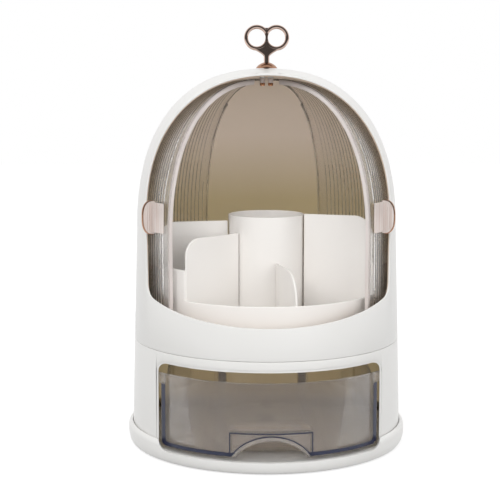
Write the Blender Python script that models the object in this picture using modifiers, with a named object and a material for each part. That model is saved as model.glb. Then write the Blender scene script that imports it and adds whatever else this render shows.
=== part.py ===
"""Rotating makeup organizer: a domed cabinet with two sliding doors and a drawer, on a turntable.

Metres, +Z up. The front faces -Y, and the origin is the middle of the base, on the surface it stands on.
Angles called azimuths are in degrees, 0 at the front and growing towards +X.
"""

import math

import bmesh
import bpy
from mathutils import Matrix, Vector

# Fits and working values
TOUCH = 0.0003  # gap between pieces that touch
RUN = 0.0006  # gap between pieces that slide or turn on each other
OVERRUN = 0.006  # how far a cut runs past what it cuts
MERGE = 0.00001  # distance under which doubled points become one
BITE = 0.0012  # how far a rib, tab or boss runs into the piece it grows from

# Outer form: drum, dome and foot
BODY_RADIUS = 0.1314  # outside of the wall at the seam between drum and dome
DRUM_DRAFT = 0.0023  # how much wider the drum is at its foot
DOME_DRAFT = 0.0033  # how much narrower the wall is where the dome starts
FOOT_OVERHANG = 0.0047  # the foot's widest band, out from the drum's foot
FOOT_TUCK = 0.0047  # the foot's underside, in from its widest band
DRUM_HEIGHT = 0.093
DRUM_WALL = 0.0025
DOME_WALL = 0.003
FRAME_WALL = 0.0016  # the white outer skin, which laps over the tea-coloured shell
LINER_SET_BACK = 0.002  # from the arch's edge to the tea-coloured shell's edge
UPRIGHT_HEIGHT = 0.1054  # from the seam on the drum to the start of the dome
DOME_RISE = 0.1593
DOME_POWER = 2.3675  # 2 is a plain ellipse, more is squarer shoulders
FOOT_HEIGHT = 0.0203
FOOT_FLOOR_GAP = 0.0012
FOOT_SKIRT = 0.0046
FOOT_BULGE_SHARES = (0.55, 0.74)  # of the foot's height, where the widest band starts and ends
SPLIT_Y = 0.016  # the white front ends here and the tea-coloured back begins

# Numbers of flat sides that stand for a curve
RING_STEPS = 48  # a full turn of the cabinet's own walls
TRAY_STEPS = 36
RACE_STEPS = 24
PIN_STEPS = 16
SCREW_STEPS = 12
BALL_STEPS = (8, 6)  # round the ball, and from pole to pole
DOME_STEPS = 10
DOOR_STEPS = 16
PLAN_STEPS = 12
ROUND_STEPS = 4
CORNER_STEPS = 3
FILLET_STEPS = 8
BEND_STEPS = 4
SCOOP_STEPS = 12
EAR_STEPS = 12
GRIP_STEPS = 6
KEY_RING_STEPS = 28
KEY_TUBE_STEPS = 8

# Turntable
PAD_RADIUS = 0.008
PAD_HEIGHT = 0.0012
PAD_SET_IN = 0.016  # middle of a pad, in from the base's edge
PAD_COUNT = 5
BASE_SIDE_GAP = 0.0171  # base's edge, in from the foot's skirt
BASE_PLATE = 0.003
BALL_RADIUS = 0.003
RACE_SET_IN = 0.032  # middle of the race, in from the base's edge
BALL_COUNT = 6
RACE_DEPTH = 0.0011
RACE_HALF_WIDTH = 0.0026
CAGE_HALF_WIDTH = 0.0065
CAGE_HEIGHT = 0.0012
SPINDLE_RADIUS = 0.0039
SPINDLE_HEAD_RADIUS = 0.009
SPINDLE_HEAD_HEIGHT = 0.0009
WASHER_RADIUS = 0.010
WASHER_HEIGHT = 0.0007
NUT_RADIUS = 0.0075
NUT_HEIGHT = 0.0015

# Floor, posts and deck
FLOOR_PLATE = 0.0031
LEDGE_DEPTH = 0.0025
LEDGE_HEIGHT = 0.0015
DECK_DROP = 0.005  # deck top below the drum's top edge
DECK_PLATE = 0.003
POST_X = 0.044
POST_WIDTH = 0.009
POST_DEPTH = 0.007
POST_BACK_GAP = 0.001
SCREW_RADIUS = 0.0014
SCREW_HEAD_RADIUS = 0.0028
SCREW_HEAD_HEIGHT = 0.0012
SCREW_LENGTH = 0.014

# Drawer and its opening
OPENING_SIDE_SET_IN = 0.0264  # each side of the opening, in from the body's side
OPENING_HEAD = 0.0101  # height of the wall over the opening
OPENING_SILL = 0.0005
OPENING_CORNER = 0.009
DRAWER_FACE_GAP = 0.0025  # at each side of the drawer's face
DRAWER_SIDE_GAP = 0.008  # at each side of its tub
DRAWER_TOP_GAP = 0.010  # between the face and the top of the opening
DRAWER_BACK_SET_IN = 0.0144  # the tub's curved back, in from the body's wall
DRAWER_WALL = 0.0025
DRAWER_FLOOR = 0.0022
DRAWER_SET_BACK = 0.0004
RAIL_X = 0.055
RAIL_WIDTH = 0.005
RAIL_HEIGHT = 0.0028
RAIL_FRONT_SET_BACK = 0.014
RAIL_BACK_SET_BACK = 0.014
RECESS_HALF_WIDTH = 0.0367
RECESS_HEIGHT = 0.023
RECESS_DEPTH = 0.026
RECESS_WALL = 0.002
SCOOP_HALF_WIDTH = 0.0353
SCOOP_HEIGHT = 0.0222

# Door guide ring on the deck
GUIDE_SIDE_GAP = 0.004  # between the door and the inner lip
GUIDE_LIP = 0.0015
GUIDE_FLOOR = 0.0016
GUIDE_INNER_HEIGHT = 0.005
GUIDE_OUTER_HEIGHT = 0.0105

# Tray and brush cup
TRAY_GAP = 0.001  # between the tray and the guide
TRAY_WALL = 0.0022
TRAY_FLOOR = 0.002
TRAY_FRONT_HEIGHT = 0.0517
TRAY_SIDE_HEIGHT = 0.0807
SOCKET_HEIGHT = 0.030
CUP_RADIUS = 0.0377
CUP_WALL = 0.002
CUP_HEIGHT = 0.1265
CUP_FLOOR = 0.002
LOW_WALL_SPAN = (-47.0, 70.0)  # azimuths of the low wall in front
DIVIDER_AZIMUTHS = (-47.0, 13.0, 70.0, 176.0, 280.0)
DIVIDER_HEIGHTS = (0.1103, 0.082, 0.1278, 0.105, 0.1207)
DIVIDER_CORNERS = (0.017, 0.030, 0.018, 0.018, 0.018)

# Front arch: the edge is upright in the dome, then leans forward to a sill that rises towards the back
ARCH_TOP_AZIMUTH = 71.13  # of the upright edge, on the body's radius
ARCH_CORNER_AZIMUTH = 64.05  # of the corner between edge and sill, on the same radius
ARCH_BEND_RISE = 0.0746  # above the start of the dome, where the edge starts to lean
ARCH_BEND_RADIUS = 0.45
ARCH_CORNER_RISE = 0.05135  # above the seam
ARCH_SLOPE = 0.29
ARCH_FILLET = 0.016

# Doors
PIVOT_X = 0.004
DOOR_SIDE_GAP = 0.0036  # between the door's side and the inside of the dome
DOOR_WALL = 0.002
DOOR_SPRING_DROP = 0.003  # door's dome starts this far below the cabinet's
DOOR_TOP_GAP = 0.0067  # door's top under the inside of the cabinet's crown
DOOR_FLOOR_GAP = 0.0022
DOOR_FRONT_AZIMUTH = 50.8
DOOR_SPAN = 100.0
DOOR_ROOT_RADIUS = 0.0029
HUB_RADIUS = 0.0037
HUB_HEIGHT = 0.0038
PIN_RADIUS = 0.0017
PIN_HEAD_RADIUS = 0.0025
PIN_HEAD_HEIGHT = 0.003
PIN_TENON_RADIUS = 0.0012
PIN_TENON_HEIGHT = 0.003

# Grips on the doors
GRIP_RISE = 0.0216  # middle of the grip above the start of the door's dome
GRIP_HEIGHT = 0.029
GRIP_THICKNESS = 0.0026
EAR_ROOT_SHARE = 0.33  # of the grip's thickness, under the ear's root
GRIP_INSET = 1.2  # degrees from the door's front edge
GRIP_TURN = 9.6  # degrees
EAR_INSET = 1.2  # degrees from the grip's rear edge
EAR_REACH = 0.014
EAR_HEIGHT = 0.034
EAR_THICKNESS = 0.0026
EAR_POWER = 2.6

# Crown: bracket, key and cap
STEM_RADIUS = 0.0027
BRACKET_HALF_LENGTH = 0.015
BRACKET_HALF_WIDTH = 0.0075
BRACKET_PLATE = 0.0022
BRACKET_BOSS_RADIUS = 0.0028
BRACKET_BOSS_HEIGHT = 0.003
BRACKET_CORNER = 0.003
CAP_RADIUS = 0.0107
CAP_HEIGHT = 0.006
KEY_RING_X = 0.0091
KEY_RING_HOLE = 0.0083
KEY_RING_TUBE = 0.0026
KEY_RING_FLAT = 0.0003  # taken off the tube on the hole's side
KEY_RING_RISE = 0.0296  # above the crown
KEY_POINT_RISE = 0.0135
KEY_THICKNESS = 0.0042
KEY_WAIST = 0.0034
KEY_SHOULDER_ANGLE = 35.0  # degrees out from the lowest point of a ring, where the web leaves it

# Radii and widths that follow from the body's
DRUM_TOP_RADIUS = BODY_RADIUS
DRUM_FOOT_RADIUS = BODY_RADIUS + DRUM_DRAFT
DOME_RADIUS = BODY_RADIUS - DOME_DRAFT
FOOT_RADIUS = DRUM_FOOT_RADIUS + FOOT_OVERHANG
FOOT_UNDER_RADIUS = FOOT_RADIUS - FOOT_TUCK
BASE_RADIUS = FOOT_UNDER_RADIUS - FOOT_SKIRT - BASE_SIDE_GAP
PAD_CIRCLE_RADIUS = BASE_RADIUS - PAD_SET_IN
BALL_CIRCLE_RADIUS = BASE_RADIUS - RACE_SET_IN
OPENING_HALF_WIDTH = BODY_RADIUS - OPENING_SIDE_SET_IN
DRAWER_FACE_HALF_WIDTH = OPENING_HALF_WIDTH - DRAWER_FACE_GAP
DRAWER_HALF_WIDTH = OPENING_HALF_WIDTH - DRAWER_SIDE_GAP
DRAWER_BACK_RADIUS = BODY_RADIUS - DRAWER_BACK_SET_IN
DOOR_RADIUS = DOME_RADIUS - DOME_WALL - DOOR_SIDE_GAP - PIVOT_X
GUIDE_INNER_RADIUS = DOOR_RADIUS - DOOR_WALL - GUIDE_SIDE_GAP - GUIDE_LIP
TRAY_RADIUS = GUIDE_INNER_RADIUS - TRAY_GAP

# Levels, from the floor up
BASE_BOTTOM = PAD_HEIGHT + TOUCH
BASE_TOP = BASE_BOTTOM + BASE_PLATE
BALL_Z = BASE_TOP - RACE_DEPTH + TOUCH + BALL_RADIUS
FLOOR_BOTTOM = BALL_Z + BALL_RADIUS + TOUCH - RACE_DEPTH
FLOOR_TOP = FLOOR_BOTTOM + FLOOR_PLATE
FOOT_TOP = FOOT_FLOOR_GAP + FOOT_HEIGHT
SEAM_Z = FLOOR_TOP + DRUM_HEIGHT
DRUM_BOTTOM = FLOOR_TOP + TOUCH
DECK_TOP = SEAM_Z - DECK_DROP
DECK_BOTTOM = DECK_TOP - DECK_PLATE
SHELL_BOTTOM = SEAM_Z + TOUCH
DOME_SPRING = SEAM_Z + UPRIGHT_HEIGHT
CROWN_Z = DOME_SPRING + DOME_RISE
OPENING_BOTTOM = FLOOR_TOP + OPENING_SILL
OPENING_TOP = SEAM_Z - OPENING_HEAD
RAIL_TOP = FLOOR_TOP + TOUCH + RAIL_HEIGHT
DRAWER_BOTTOM = RAIL_TOP + TOUCH
DRAWER_TOP = OPENING_TOP - DRAWER_TOP_GAP
TRAY_BOTTOM = DECK_TOP + TOUCH
GUIDE_BOTTOM = DECK_TOP + TOUCH
DOOR_BOTTOM = GUIDE_BOTTOM + GUIDE_FLOOR + DOOR_FLOOR_GAP
DOOR_SPRING = DOME_SPRING - DOOR_SPRING_DROP
GRIP_Z = DOOR_SPRING + GRIP_RISE
DOOR_TOP = CROWN_Z - DOME_WALL - DOOR_TOP_GAP
STEM_HOLE_RADIUS = STEM_RADIUS + TOUCH

PARTS = "makeup_organizer"
CUTTERS = "cutters"


def direction(azimuth):
    """Unit vector at this azimuth in the floor's plane."""
    angle = math.radians(azimuth)
    return Vector((math.sin(angle), -math.cos(angle), 0))


def clear_scene():
    for obj in list(bpy.data.objects):
        bpy.data.objects.remove(obj, do_unlink=True)


def new_collection(name):
    made = bpy.data.collections.new(name)
    bpy.context.scene.collection.children.link(made)
    return made


def make_material(name, colour, roughness, metallic=0.0, alpha=1.0):
    material = bpy.data.materials.new(name)
    material.use_nodes = True
    shader = material.node_tree.nodes["Principled BSDF"]
    shader.inputs["Base Color"].default_value = (*colour, 1.0)
    shader.inputs["Roughness"].default_value = roughness
    shader.inputs["Metallic"].default_value = metallic
    shader.inputs["Alpha"].default_value = alpha
    material.diffuse_color = (*colour, alpha)
    return material


def new_object(name, mesh, helper=False):
    obj = bpy.data.objects.new(name, mesh)
    bpy.data.collections[CUTTERS if helper else PARTS].objects.link(obj)
    if helper:
        obj.hide_render = True
        obj.display_type = "WIRE"
    return obj


def finish(obj, material, smooth=30.0):
    """Gives the finished piece its material and smooth round sides."""
    obj.data.materials.clear()
    obj.data.materials.append(material)
    obj.data.shade_smooth()
    obj.data.set_sharp_from_angle(angle=math.radians(smooth))
    return obj


def profile_object(name, points, closed, helper=False):
    """Edges through (radius, height) points, in the XZ plane."""
    mesh = bpy.data.meshes.new(name)
    count = len(points)
    edges = [(i, i + 1) for i in range(count - 1)]
    if closed:
        edges.append((count - 1, 0))
    mesh.from_pydata([(radius, 0, height) for radius, height in points], edges, [])
    return new_object(name, mesh, helper)


def spin(obj, steps, angle=360.0):
    screw = obj.modifiers.new("turn", "SCREW")
    screw.axis = "Z"
    screw.angle = math.radians(angle)
    screw.steps = steps
    screw.render_steps = steps
    screw.use_merge_vertices = angle == 360.0
    screw.merge_threshold = MERGE
    return screw


def turned(name, points, closed=True, steps=RING_STEPS, helper=False):
    """A full turn of a profile whose outer side runs downwards."""
    obj = profile_object(name, points, closed, helper)
    spin(obj, steps)
    return obj


def turned_shell(name, points, start, span, wall, steps):
    """Part of a turn of an open profile, from azimuth start towards +X, with a wall inside it."""
    obj = profile_object(name, points, False)
    spin(obj, steps, span)
    solidify = obj.modifiers.new("wall", "SOLIDIFY")
    solidify.thickness = wall
    solidify.offset = -1
    obj.rotation_euler.z = math.radians(start - 90)
    return obj


def prism(name, outline, low, high, frame=None, helper=False):
    """A flat outline extruded from low to high along its own Z, then placed by a matrix."""
    curve = bpy.data.curves.new(name, "CURVE")
    curve.dimensions = "2D"
    curve.fill_mode = "BOTH"
    curve.extrude = (high - low) / 2
    spline = curve.splines.new("POLY")
    spline.points.add(len(outline) - 1)
    for point, (x, y) in zip(spline.points, outline):
        point.co = (x, y, 0, 1)
    spline.use_cyclic_u = True
    guide = bpy.data.objects.new(name + "_outline", curve)
    bpy.data.collections[CUTTERS].objects.link(guide)
    graph = bpy.context.evaluated_depsgraph_get()
    mesh = bpy.data.meshes.new_from_object(guide.evaluated_get(graph))
    bpy.data.objects.remove(guide, do_unlink=True)
    shape = bmesh.new()
    shape.from_mesh(mesh)
    bmesh.ops.remove_doubles(shape, verts=shape.verts, dist=MERGE)
    bmesh.ops.recalc_face_normals(shape, faces=shape.faces)
    bmesh.ops.translate(shape, verts=shape.verts, vec=(0, 0, (high + low) / 2))
    shape.to_mesh(mesh)
    shape.free()
    mesh.name = name
    obj = new_object(name, mesh, helper)
    obj.matrix_world = frame or Matrix.Identity(4)
    return obj


def box(name, low, high, helper=False):
    mesh = bpy.data.meshes.new(name)
    shape = bmesh.new()
    bmesh.ops.create_cube(shape, size=1)
    size = Vector(high) - Vector(low)
    bmesh.ops.scale(shape, vec=size, verts=shape.verts)
    shape.to_mesh(mesh)
    shape.free()
    obj = new_object(name, mesh, helper)
    obj.location = (Vector(high) + Vector(low)) / 2
    return obj


def rod(name, radius, low, high, x=0, y=0, steps=PIN_STEPS, helper=False):
    """An upright cylinder."""
    mesh = bpy.data.meshes.new(name)
    shape = bmesh.new()
    bmesh.ops.create_cone(
        shape, cap_ends=True, segments=steps, radius1=radius, radius2=radius, depth=high - low
    )
    shape.to_mesh(mesh)
    shape.free()
    obj = new_object(name, mesh, helper)
    obj.location = (x, y, (low + high) / 2)
    return obj


def boolean(obj, other, operation="DIFFERENCE"):
    modifier = obj.modifiers.new(other.name, "BOOLEAN")
    modifier.operation = operation
    modifier.solver = "EXACT"
    modifier.object = other
    return modifier


def arc(centre, radii, start, end, steps):
    """Points of an elliptical arc, angles in degrees."""
    points = []
    for step in range(steps + 1):
        angle = math.radians(start + (end - start) * step / steps)
        points.append((centre[0] + radii[0] * math.cos(angle), centre[1] + radii[1] * math.sin(angle)))
    return points


def rounded_rectangle(half_width, low, high, lower_corner, upper_corner, steps=ROUND_STEPS):
    """Outline about x = 0, from low to high; a corner of zero is square."""
    points = []
    for side, height, corner, start in (
        (1, low, lower_corner, -90),
        (1, high, upper_corner, 0),
        (-1, high, upper_corner, 90),
        (-1, low, lower_corner, 180),
    ):
        inward = 1 if height == low else -1
        if corner:
            centre = (side * (half_width - corner), height + inward * corner)
            points += arc(centre, (corner, corner), start, start + 90, steps)
        else:
            points.append((side * half_width, height))
    return points


def drum_radius(height):
    """Outer radius of the drum's drafted wall."""
    share = (height - FOOT_TOP) / (SEAM_Z - FOOT_TOP)
    return DRUM_FOOT_RADIUS + (DRUM_TOP_RADIUS - DRUM_FOOT_RADIUS) * share


def dome_points(radius, spring, rise, inner, steps=DOME_STEPS):
    """Dome outline from radius inner near the crown down to the spring line."""
    power = 2 / DOME_POWER
    first = math.degrees(math.acos((inner / radius) ** (1 / power)))
    points = []
    for step in range(steps + 1):
        angle = math.radians(first * (1 - step / steps))
        points.append((radius * math.cos(angle) ** power, spring + rise * math.sin(angle) ** power))
    return points


def crown_land():
    """Radius and height of the flat seat inside the crown, just wider than the pivot bracket."""
    radius = math.hypot(BRACKET_HALF_LENGTH, BRACKET_HALF_WIDTH) + RUN
    share = radius / (DOME_RADIUS - DOME_WALL)
    rise = (DOME_RISE - DOME_WALL) * (1 - share**DOME_POWER) ** (1 / DOME_POWER)
    return radius, DOME_SPRING + rise


def side_frame():
    """Takes an outline drawn in Y and Z, and extrudes it along X."""
    return Matrix(((0, 0, 1, 0), (1, 0, 0, 0), (0, 1, 0, 0), (0, 0, 0, 1)))


def front_frame():
    """Takes an outline drawn in X and Z, and extrudes it along Y."""
    return Matrix(((1, 0, 0, 0), (0, 0, -1, 0), (0, 1, 0, 0), (0, 0, 0, 1)))


def radial_frame(azimuth):
    """Takes an outline drawn in radius and height, and extrudes it across that azimuth."""
    out = direction(azimuth)
    across = out.cross(Vector((0, 0, 1)))
    return Matrix(
        (
            (out.x, 0, across.x, 0),
            (out.y, 0, across.y, 0),
            (0, 1, 0, 0),
            (0, 0, 0, 1),
        )
    )


def half_space(name, behind):
    """A block on one side of the split between the white front and the tea-coloured back."""
    reach = FOOT_RADIUS + OVERRUN
    low = (-reach, SPLIT_Y, -OVERRUN) if behind else (-reach, -reach, -OVERRUN)
    high = (reach, reach, CROWN_Z + OVERRUN) if behind else (reach, SPLIT_Y + TOUCH, CROWN_Z + OVERRUN)
    return box(name, low, high, helper=True)


def turntable(black, steel, rubber, white):
    pad_turn = 360 / PAD_COUNT
    for number in range(PAD_COUNT):
        place = direction((number + 0.5) * pad_turn) * PAD_CIRCLE_RADIUS
        pad = rod(f"grip_pad_{number + 1}", PAD_RADIUS, 0, PAD_HEIGHT, place.x, place.y)
        finish(pad, rubber)

    hole = SPINDLE_RADIUS + TOUCH
    race_in = BALL_CIRCLE_RADIUS - RACE_HALF_WIDTH
    race_out = BALL_CIRCLE_RADIUS + RACE_HALF_WIDTH
    race_z = BASE_TOP - RACE_DEPTH
    base = turned(
        "turntable_base",
        [
            (hole, BASE_TOP),
            (race_in, BASE_TOP),
            (race_in, race_z),
            (race_out, race_z),
            (race_out, BASE_TOP),
            (BASE_RADIUS, BASE_TOP),
            (BASE_RADIUS, BASE_BOTTOM),
            (hole, BASE_BOTTOM),
        ],
    )
    finish(base, black)

    cage = turned(
        "ball_cage",
        [
            (BALL_CIRCLE_RADIUS - CAGE_HALF_WIDTH, BALL_Z + CAGE_HEIGHT / 2),
            (BALL_CIRCLE_RADIUS + CAGE_HALF_WIDTH, BALL_Z + CAGE_HEIGHT / 2),
            (BALL_CIRCLE_RADIUS + CAGE_HALF_WIDTH, BALL_Z - CAGE_HEIGHT / 2),
            (BALL_CIRCLE_RADIUS - CAGE_HALF_WIDTH, BALL_Z - CAGE_HEIGHT / 2),
        ],
        steps=RACE_STEPS,
    )
    finish(cage, white)
    for number in range(BALL_COUNT):
        place = direction(number * 360 / BALL_COUNT) * BALL_CIRCLE_RADIUS
        pocket = rod(
            f"pocket_{number + 1}",
            BALL_RADIUS + TOUCH,
            BALL_Z - CAGE_HEIGHT,
            BALL_Z + CAGE_HEIGHT,
            place.x,
            place.y,
            helper=True,
        )
        boolean(cage, pocket)
        mesh = bpy.data.meshes.new(f"ball_{number + 1}")
        shape = bmesh.new()
        around, down = BALL_STEPS
        bmesh.ops.create_uvsphere(shape, u_segments=around, v_segments=down, radius=BALL_RADIUS)
        shape.to_mesh(mesh)
        shape.free()
        ball = new_object(f"bearing_ball_{number + 1}", mesh)
        ball.location = (place.x, place.y, BALL_Z)
        finish(ball, steel)

    washer_bottom = FLOOR_TOP + TOUCH
    washer_top = washer_bottom + WASHER_HEIGHT
    nut_bottom = washer_top + TOUCH
    nut_top = nut_bottom + NUT_HEIGHT
    head_top = BASE_BOTTOM - TOUCH
    spindle = turned(
        "spindle",
        [
            (0, nut_top),
            (SPINDLE_RADIUS, nut_top),
            (SPINDLE_RADIUS, head_top),
            (SPINDLE_HEAD_RADIUS, head_top),
            (SPINDLE_HEAD_RADIUS, head_top - SPINDLE_HEAD_HEIGHT),
            (0, head_top - SPINDLE_HEAD_HEIGHT),
        ],
        closed=False,
        steps=RACE_STEPS,
    )
    finish(spindle, steel)
    washer = turned(
        "spindle_washer",
        [
            (hole, washer_top),
            (WASHER_RADIUS, washer_top),
            (WASHER_RADIUS, washer_bottom),
            (hole, washer_bottom),
        ],
        steps=RACE_STEPS,
    )
    finish(washer, steel)
    nut = rod("spindle_nut", NUT_RADIUS, nut_bottom, nut_top, steps=6)
    bore = rod("nut_bore", hole, nut_bottom - OVERRUN, nut_top + OVERRUN, helper=True)
    boolean(nut, bore)
    finish(nut, steel)


def opening_outline(low):
    """The drawer's opening, its lower corners round only where it ends above the floor."""
    lower = OPENING_CORNER if low == OPENING_BOTTOM else 0
    return rounded_rectangle(OPENING_HALF_WIDTH, low, OPENING_TOP, lower, OPENING_CORNER)


def foot(white):
    hole = SPINDLE_RADIUS + RUN
    race_in = BALL_CIRCLE_RADIUS - RACE_HALF_WIDTH
    race_out = BALL_CIRCLE_RADIUS + RACE_HALF_WIDTH
    race_z = FLOOR_BOTTOM + RACE_DEPTH
    socket = drum_radius(DRUM_BOTTOM) + TOUCH
    low_band, high_band = (FOOT_FLOOR_GAP + FOOT_HEIGHT * share for share in FOOT_BULGE_SHARES)
    rim = (FOOT_RADIUS - socket, FOOT_TOP - high_band)
    under = (FOOT_RADIUS - FOOT_UNDER_RADIUS, low_band - FOOT_FLOOR_GAP)
    points = [(hole, FLOOR_TOP), (socket, FLOOR_TOP)]
    points += arc((socket, high_band), rim, 90, 0, ROUND_STEPS)
    points += arc((FOOT_UNDER_RADIUS, low_band), under, 0, -90, ROUND_STEPS)
    points += [
        (FOOT_UNDER_RADIUS - FOOT_SKIRT, FOOT_FLOOR_GAP),
        (FOOT_UNDER_RADIUS - FOOT_SKIRT, FLOOR_BOTTOM),
        (race_out, FLOOR_BOTTOM),
        (race_out, race_z),
        (race_in, race_z),
        (race_in, FLOOR_BOTTOM),
        (hole, FLOOR_BOTTOM),
    ]
    piece = turned("foot_plate", points)
    cut = prism(
        "foot_opening",
        opening_outline(OPENING_BOTTOM),
        DRAWER_BACK_RADIUS / 2,
        FOOT_RADIUS + OVERRUN,
        front_frame(),
        helper=True,
    )
    boolean(piece, cut)
    for side in (-1, 1):
        x, y = post_place(side)
        drill = rod(
            f"foot_drill_{side}", SCREW_RADIUS + TOUCH, FLOOR_BOTTOM - OVERRUN, FLOOR_TOP + OVERRUN,
            x, y, steps=SCREW_STEPS, helper=True,
        )
        boolean(piece, drill)
    finish(piece, white)


def post_place(side):
    """Where a rear post stands: its outer corner just inside the drum's wall."""
    inside = drum_radius(DECK_TOP) - DRUM_WALL - POST_BACK_GAP
    corner_x = POST_X + POST_WIDTH / 2
    return side * POST_X, math.sqrt(inside**2 - corner_x**2) - POST_DEPTH / 2


def drum(white, tea):
    low = DRUM_BOTTOM
    ledge_top = DECK_BOTTOM - TOUCH
    ledge_bottom = ledge_top - LEDGE_HEIGHT
    ledge_in = drum_radius(SEAM_Z) - DRUM_WALL - LEDGE_DEPTH
    outer = [(drum_radius(SEAM_Z), SEAM_Z), (drum_radius(low), low)]
    front = turned(
        "drum_front",
        outer
        + [
            (drum_radius(low) - DRUM_WALL, low),
            (drum_radius(ledge_bottom) - DRUM_WALL, ledge_bottom),
            (ledge_in, ledge_bottom),
            (ledge_in, ledge_top),
            (drum_radius(ledge_top) - DRUM_WALL, ledge_top),
            (drum_radius(SEAM_Z) - DRUM_WALL, SEAM_Z),
        ],
    )
    boolean(front, half_space("behind_drum", behind=True))
    cut = prism(
        "drum_opening",
        opening_outline(low - OVERRUN),
        DRAWER_BACK_RADIUS / 2,
        FOOT_RADIUS + OVERRUN,
        front_frame(),
        helper=True,
    )
    boolean(front, cut)
    finish(front, white)

    back = turned(
        "drum_back",
        outer + [(drum_radius(low) - DRUM_WALL, low), (drum_radius(SEAM_Z) - DRUM_WALL, SEAM_Z)],
    )
    boolean(back, half_space("before_drum", behind=False))
    finish(back, tea)


def deck_and_posts(white, steel):
    radius = drum_radius(DECK_TOP) - DRUM_WALL - TOUCH
    deck = turned(
        "deck",
        [(0, DECK_TOP), (radius, DECK_TOP), (radius, DECK_BOTTOM), (0, DECK_BOTTOM)],
        closed=False,
    )
    finish(deck, white)
    post_bottom = FLOOR_TOP + TOUCH
    post_top = DECK_BOTTOM - TOUCH
    for side, word in ((-1, "left"), (1, "right")):
        x, y = post_place(side)
        half = (POST_WIDTH / 2, POST_DEPTH / 2)
        post = box(
            f"rear_post_{word}",
            (x - half[0], y - half[1], post_bottom),
            (x + half[0], y + half[1], post_top),
        )
        for place, low, high in (
            ("low", post_bottom - OVERRUN, FLOOR_BOTTOM + SCREW_LENGTH + RUN),
            ("high", DECK_TOP - SCREW_LENGTH - RUN, post_top + OVERRUN),
        ):
            drill = rod(
                f"post_drill_{place}_{word}", SCREW_RADIUS + TOUCH, low, high, x, y, steps=SCREW_STEPS,
                helper=True,
            )
            boolean(post, drill)
        finish(post, white)

        head_low = FLOOR_BOTTOM - TOUCH - SCREW_HEAD_HEIGHT
        screw = turned(
            f"floor_screw_{word}",
            screw_points(FLOOR_BOTTOM + SCREW_LENGTH, FLOOR_BOTTOM - TOUCH, head_low),
            closed=False,
            steps=SCREW_STEPS,
        )
        screw.location = (x, y, 0)
        finish(screw, steel)

        sink = rod(
            f"deck_sink_{word}", SCREW_HEAD_RADIUS + TOUCH, DECK_TOP - SCREW_HEAD_HEIGHT - TOUCH,
            DECK_TOP + OVERRUN, x, y, helper=True,
        )
        through = rod(
            f"deck_drill_{word}", SCREW_RADIUS + TOUCH, DECK_BOTTOM - OVERRUN, DECK_TOP + OVERRUN,
            x, y, steps=SCREW_STEPS, helper=True,
        )
        boolean(deck, sink)
        boolean(deck, through)
        screw = turned(
            f"deck_screw_{word}",
            deck_screw_points(DECK_TOP, DECK_TOP - SCREW_HEAD_HEIGHT, DECK_TOP - SCREW_LENGTH),
            closed=False,
            steps=SCREW_STEPS,
        )
        screw.location = (x, y, 0)
        finish(screw, steel)


def screw_points(tip, head_top, head_bottom):
    """A screw driven upwards, its head below."""
    return [
        (0, tip),
        (SCREW_RADIUS, tip),
        (SCREW_RADIUS, head_top),
        (SCREW_HEAD_RADIUS, head_top),
        (SCREW_HEAD_RADIUS, head_bottom),
        (0, head_bottom),
    ]


def deck_screw_points(head_top, head_bottom, tip):
    """A screw driven downwards, its head above."""
    return [
        (0, head_top),
        (SCREW_HEAD_RADIUS, head_top),
        (SCREW_HEAD_RADIUS, head_bottom),
        (SCREW_RADIUS, head_bottom),
        (SCREW_RADIUS, tip),
        (0, tip),
    ]


def face_radius():
    """Radius of the drawer's front, set back a little from the drum at its top."""
    return drum_radius(DRAWER_TOP) - DRAWER_SET_BACK


def arc_plan(half_width, radius, middle):
    """Plan points of an arc about the cabinet's axis, as wide as half_width each way, about an azimuth."""
    half = math.degrees(math.asin(half_width / radius))
    points = []
    for step in range(PLAN_STEPS + 1):
        place = direction(middle - half + 2 * half * step / PLAN_STEPS) * radius
        points.append((place.x, place.y))
    return points


def drawer_plan(name, half_width, front_radius):
    """A cutter with the drawer's curved front, taller than the drawer."""
    outline = arc_plan(half_width, front_radius, 0) + arc_plan(half_width, DRAWER_BACK_RADIUS, 180)
    return prism(name, outline, DRAWER_BOTTOM - 2 * OVERRUN, DRAWER_TOP + OVERRUN, helper=True)


def scoop_outline():
    """Bell-shaped cut in the foot of the drawer's front, where fingers reach under it."""
    low = DRAWER_BOTTOM - OVERRUN
    points = [(SCOOP_HALF_WIDTH, low)]
    for step in range(SCOOP_STEPS + 1):
        share = 1 - 2 * step / SCOOP_STEPS
        lift = (1 + math.cos(math.pi * share)) / 2
        points.append((SCOOP_HALF_WIDTH * share, DRAWER_BOTTOM + SCOOP_HEIGHT * lift))
    points.append((-SCOOP_HALF_WIDTH, low))
    return points


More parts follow.
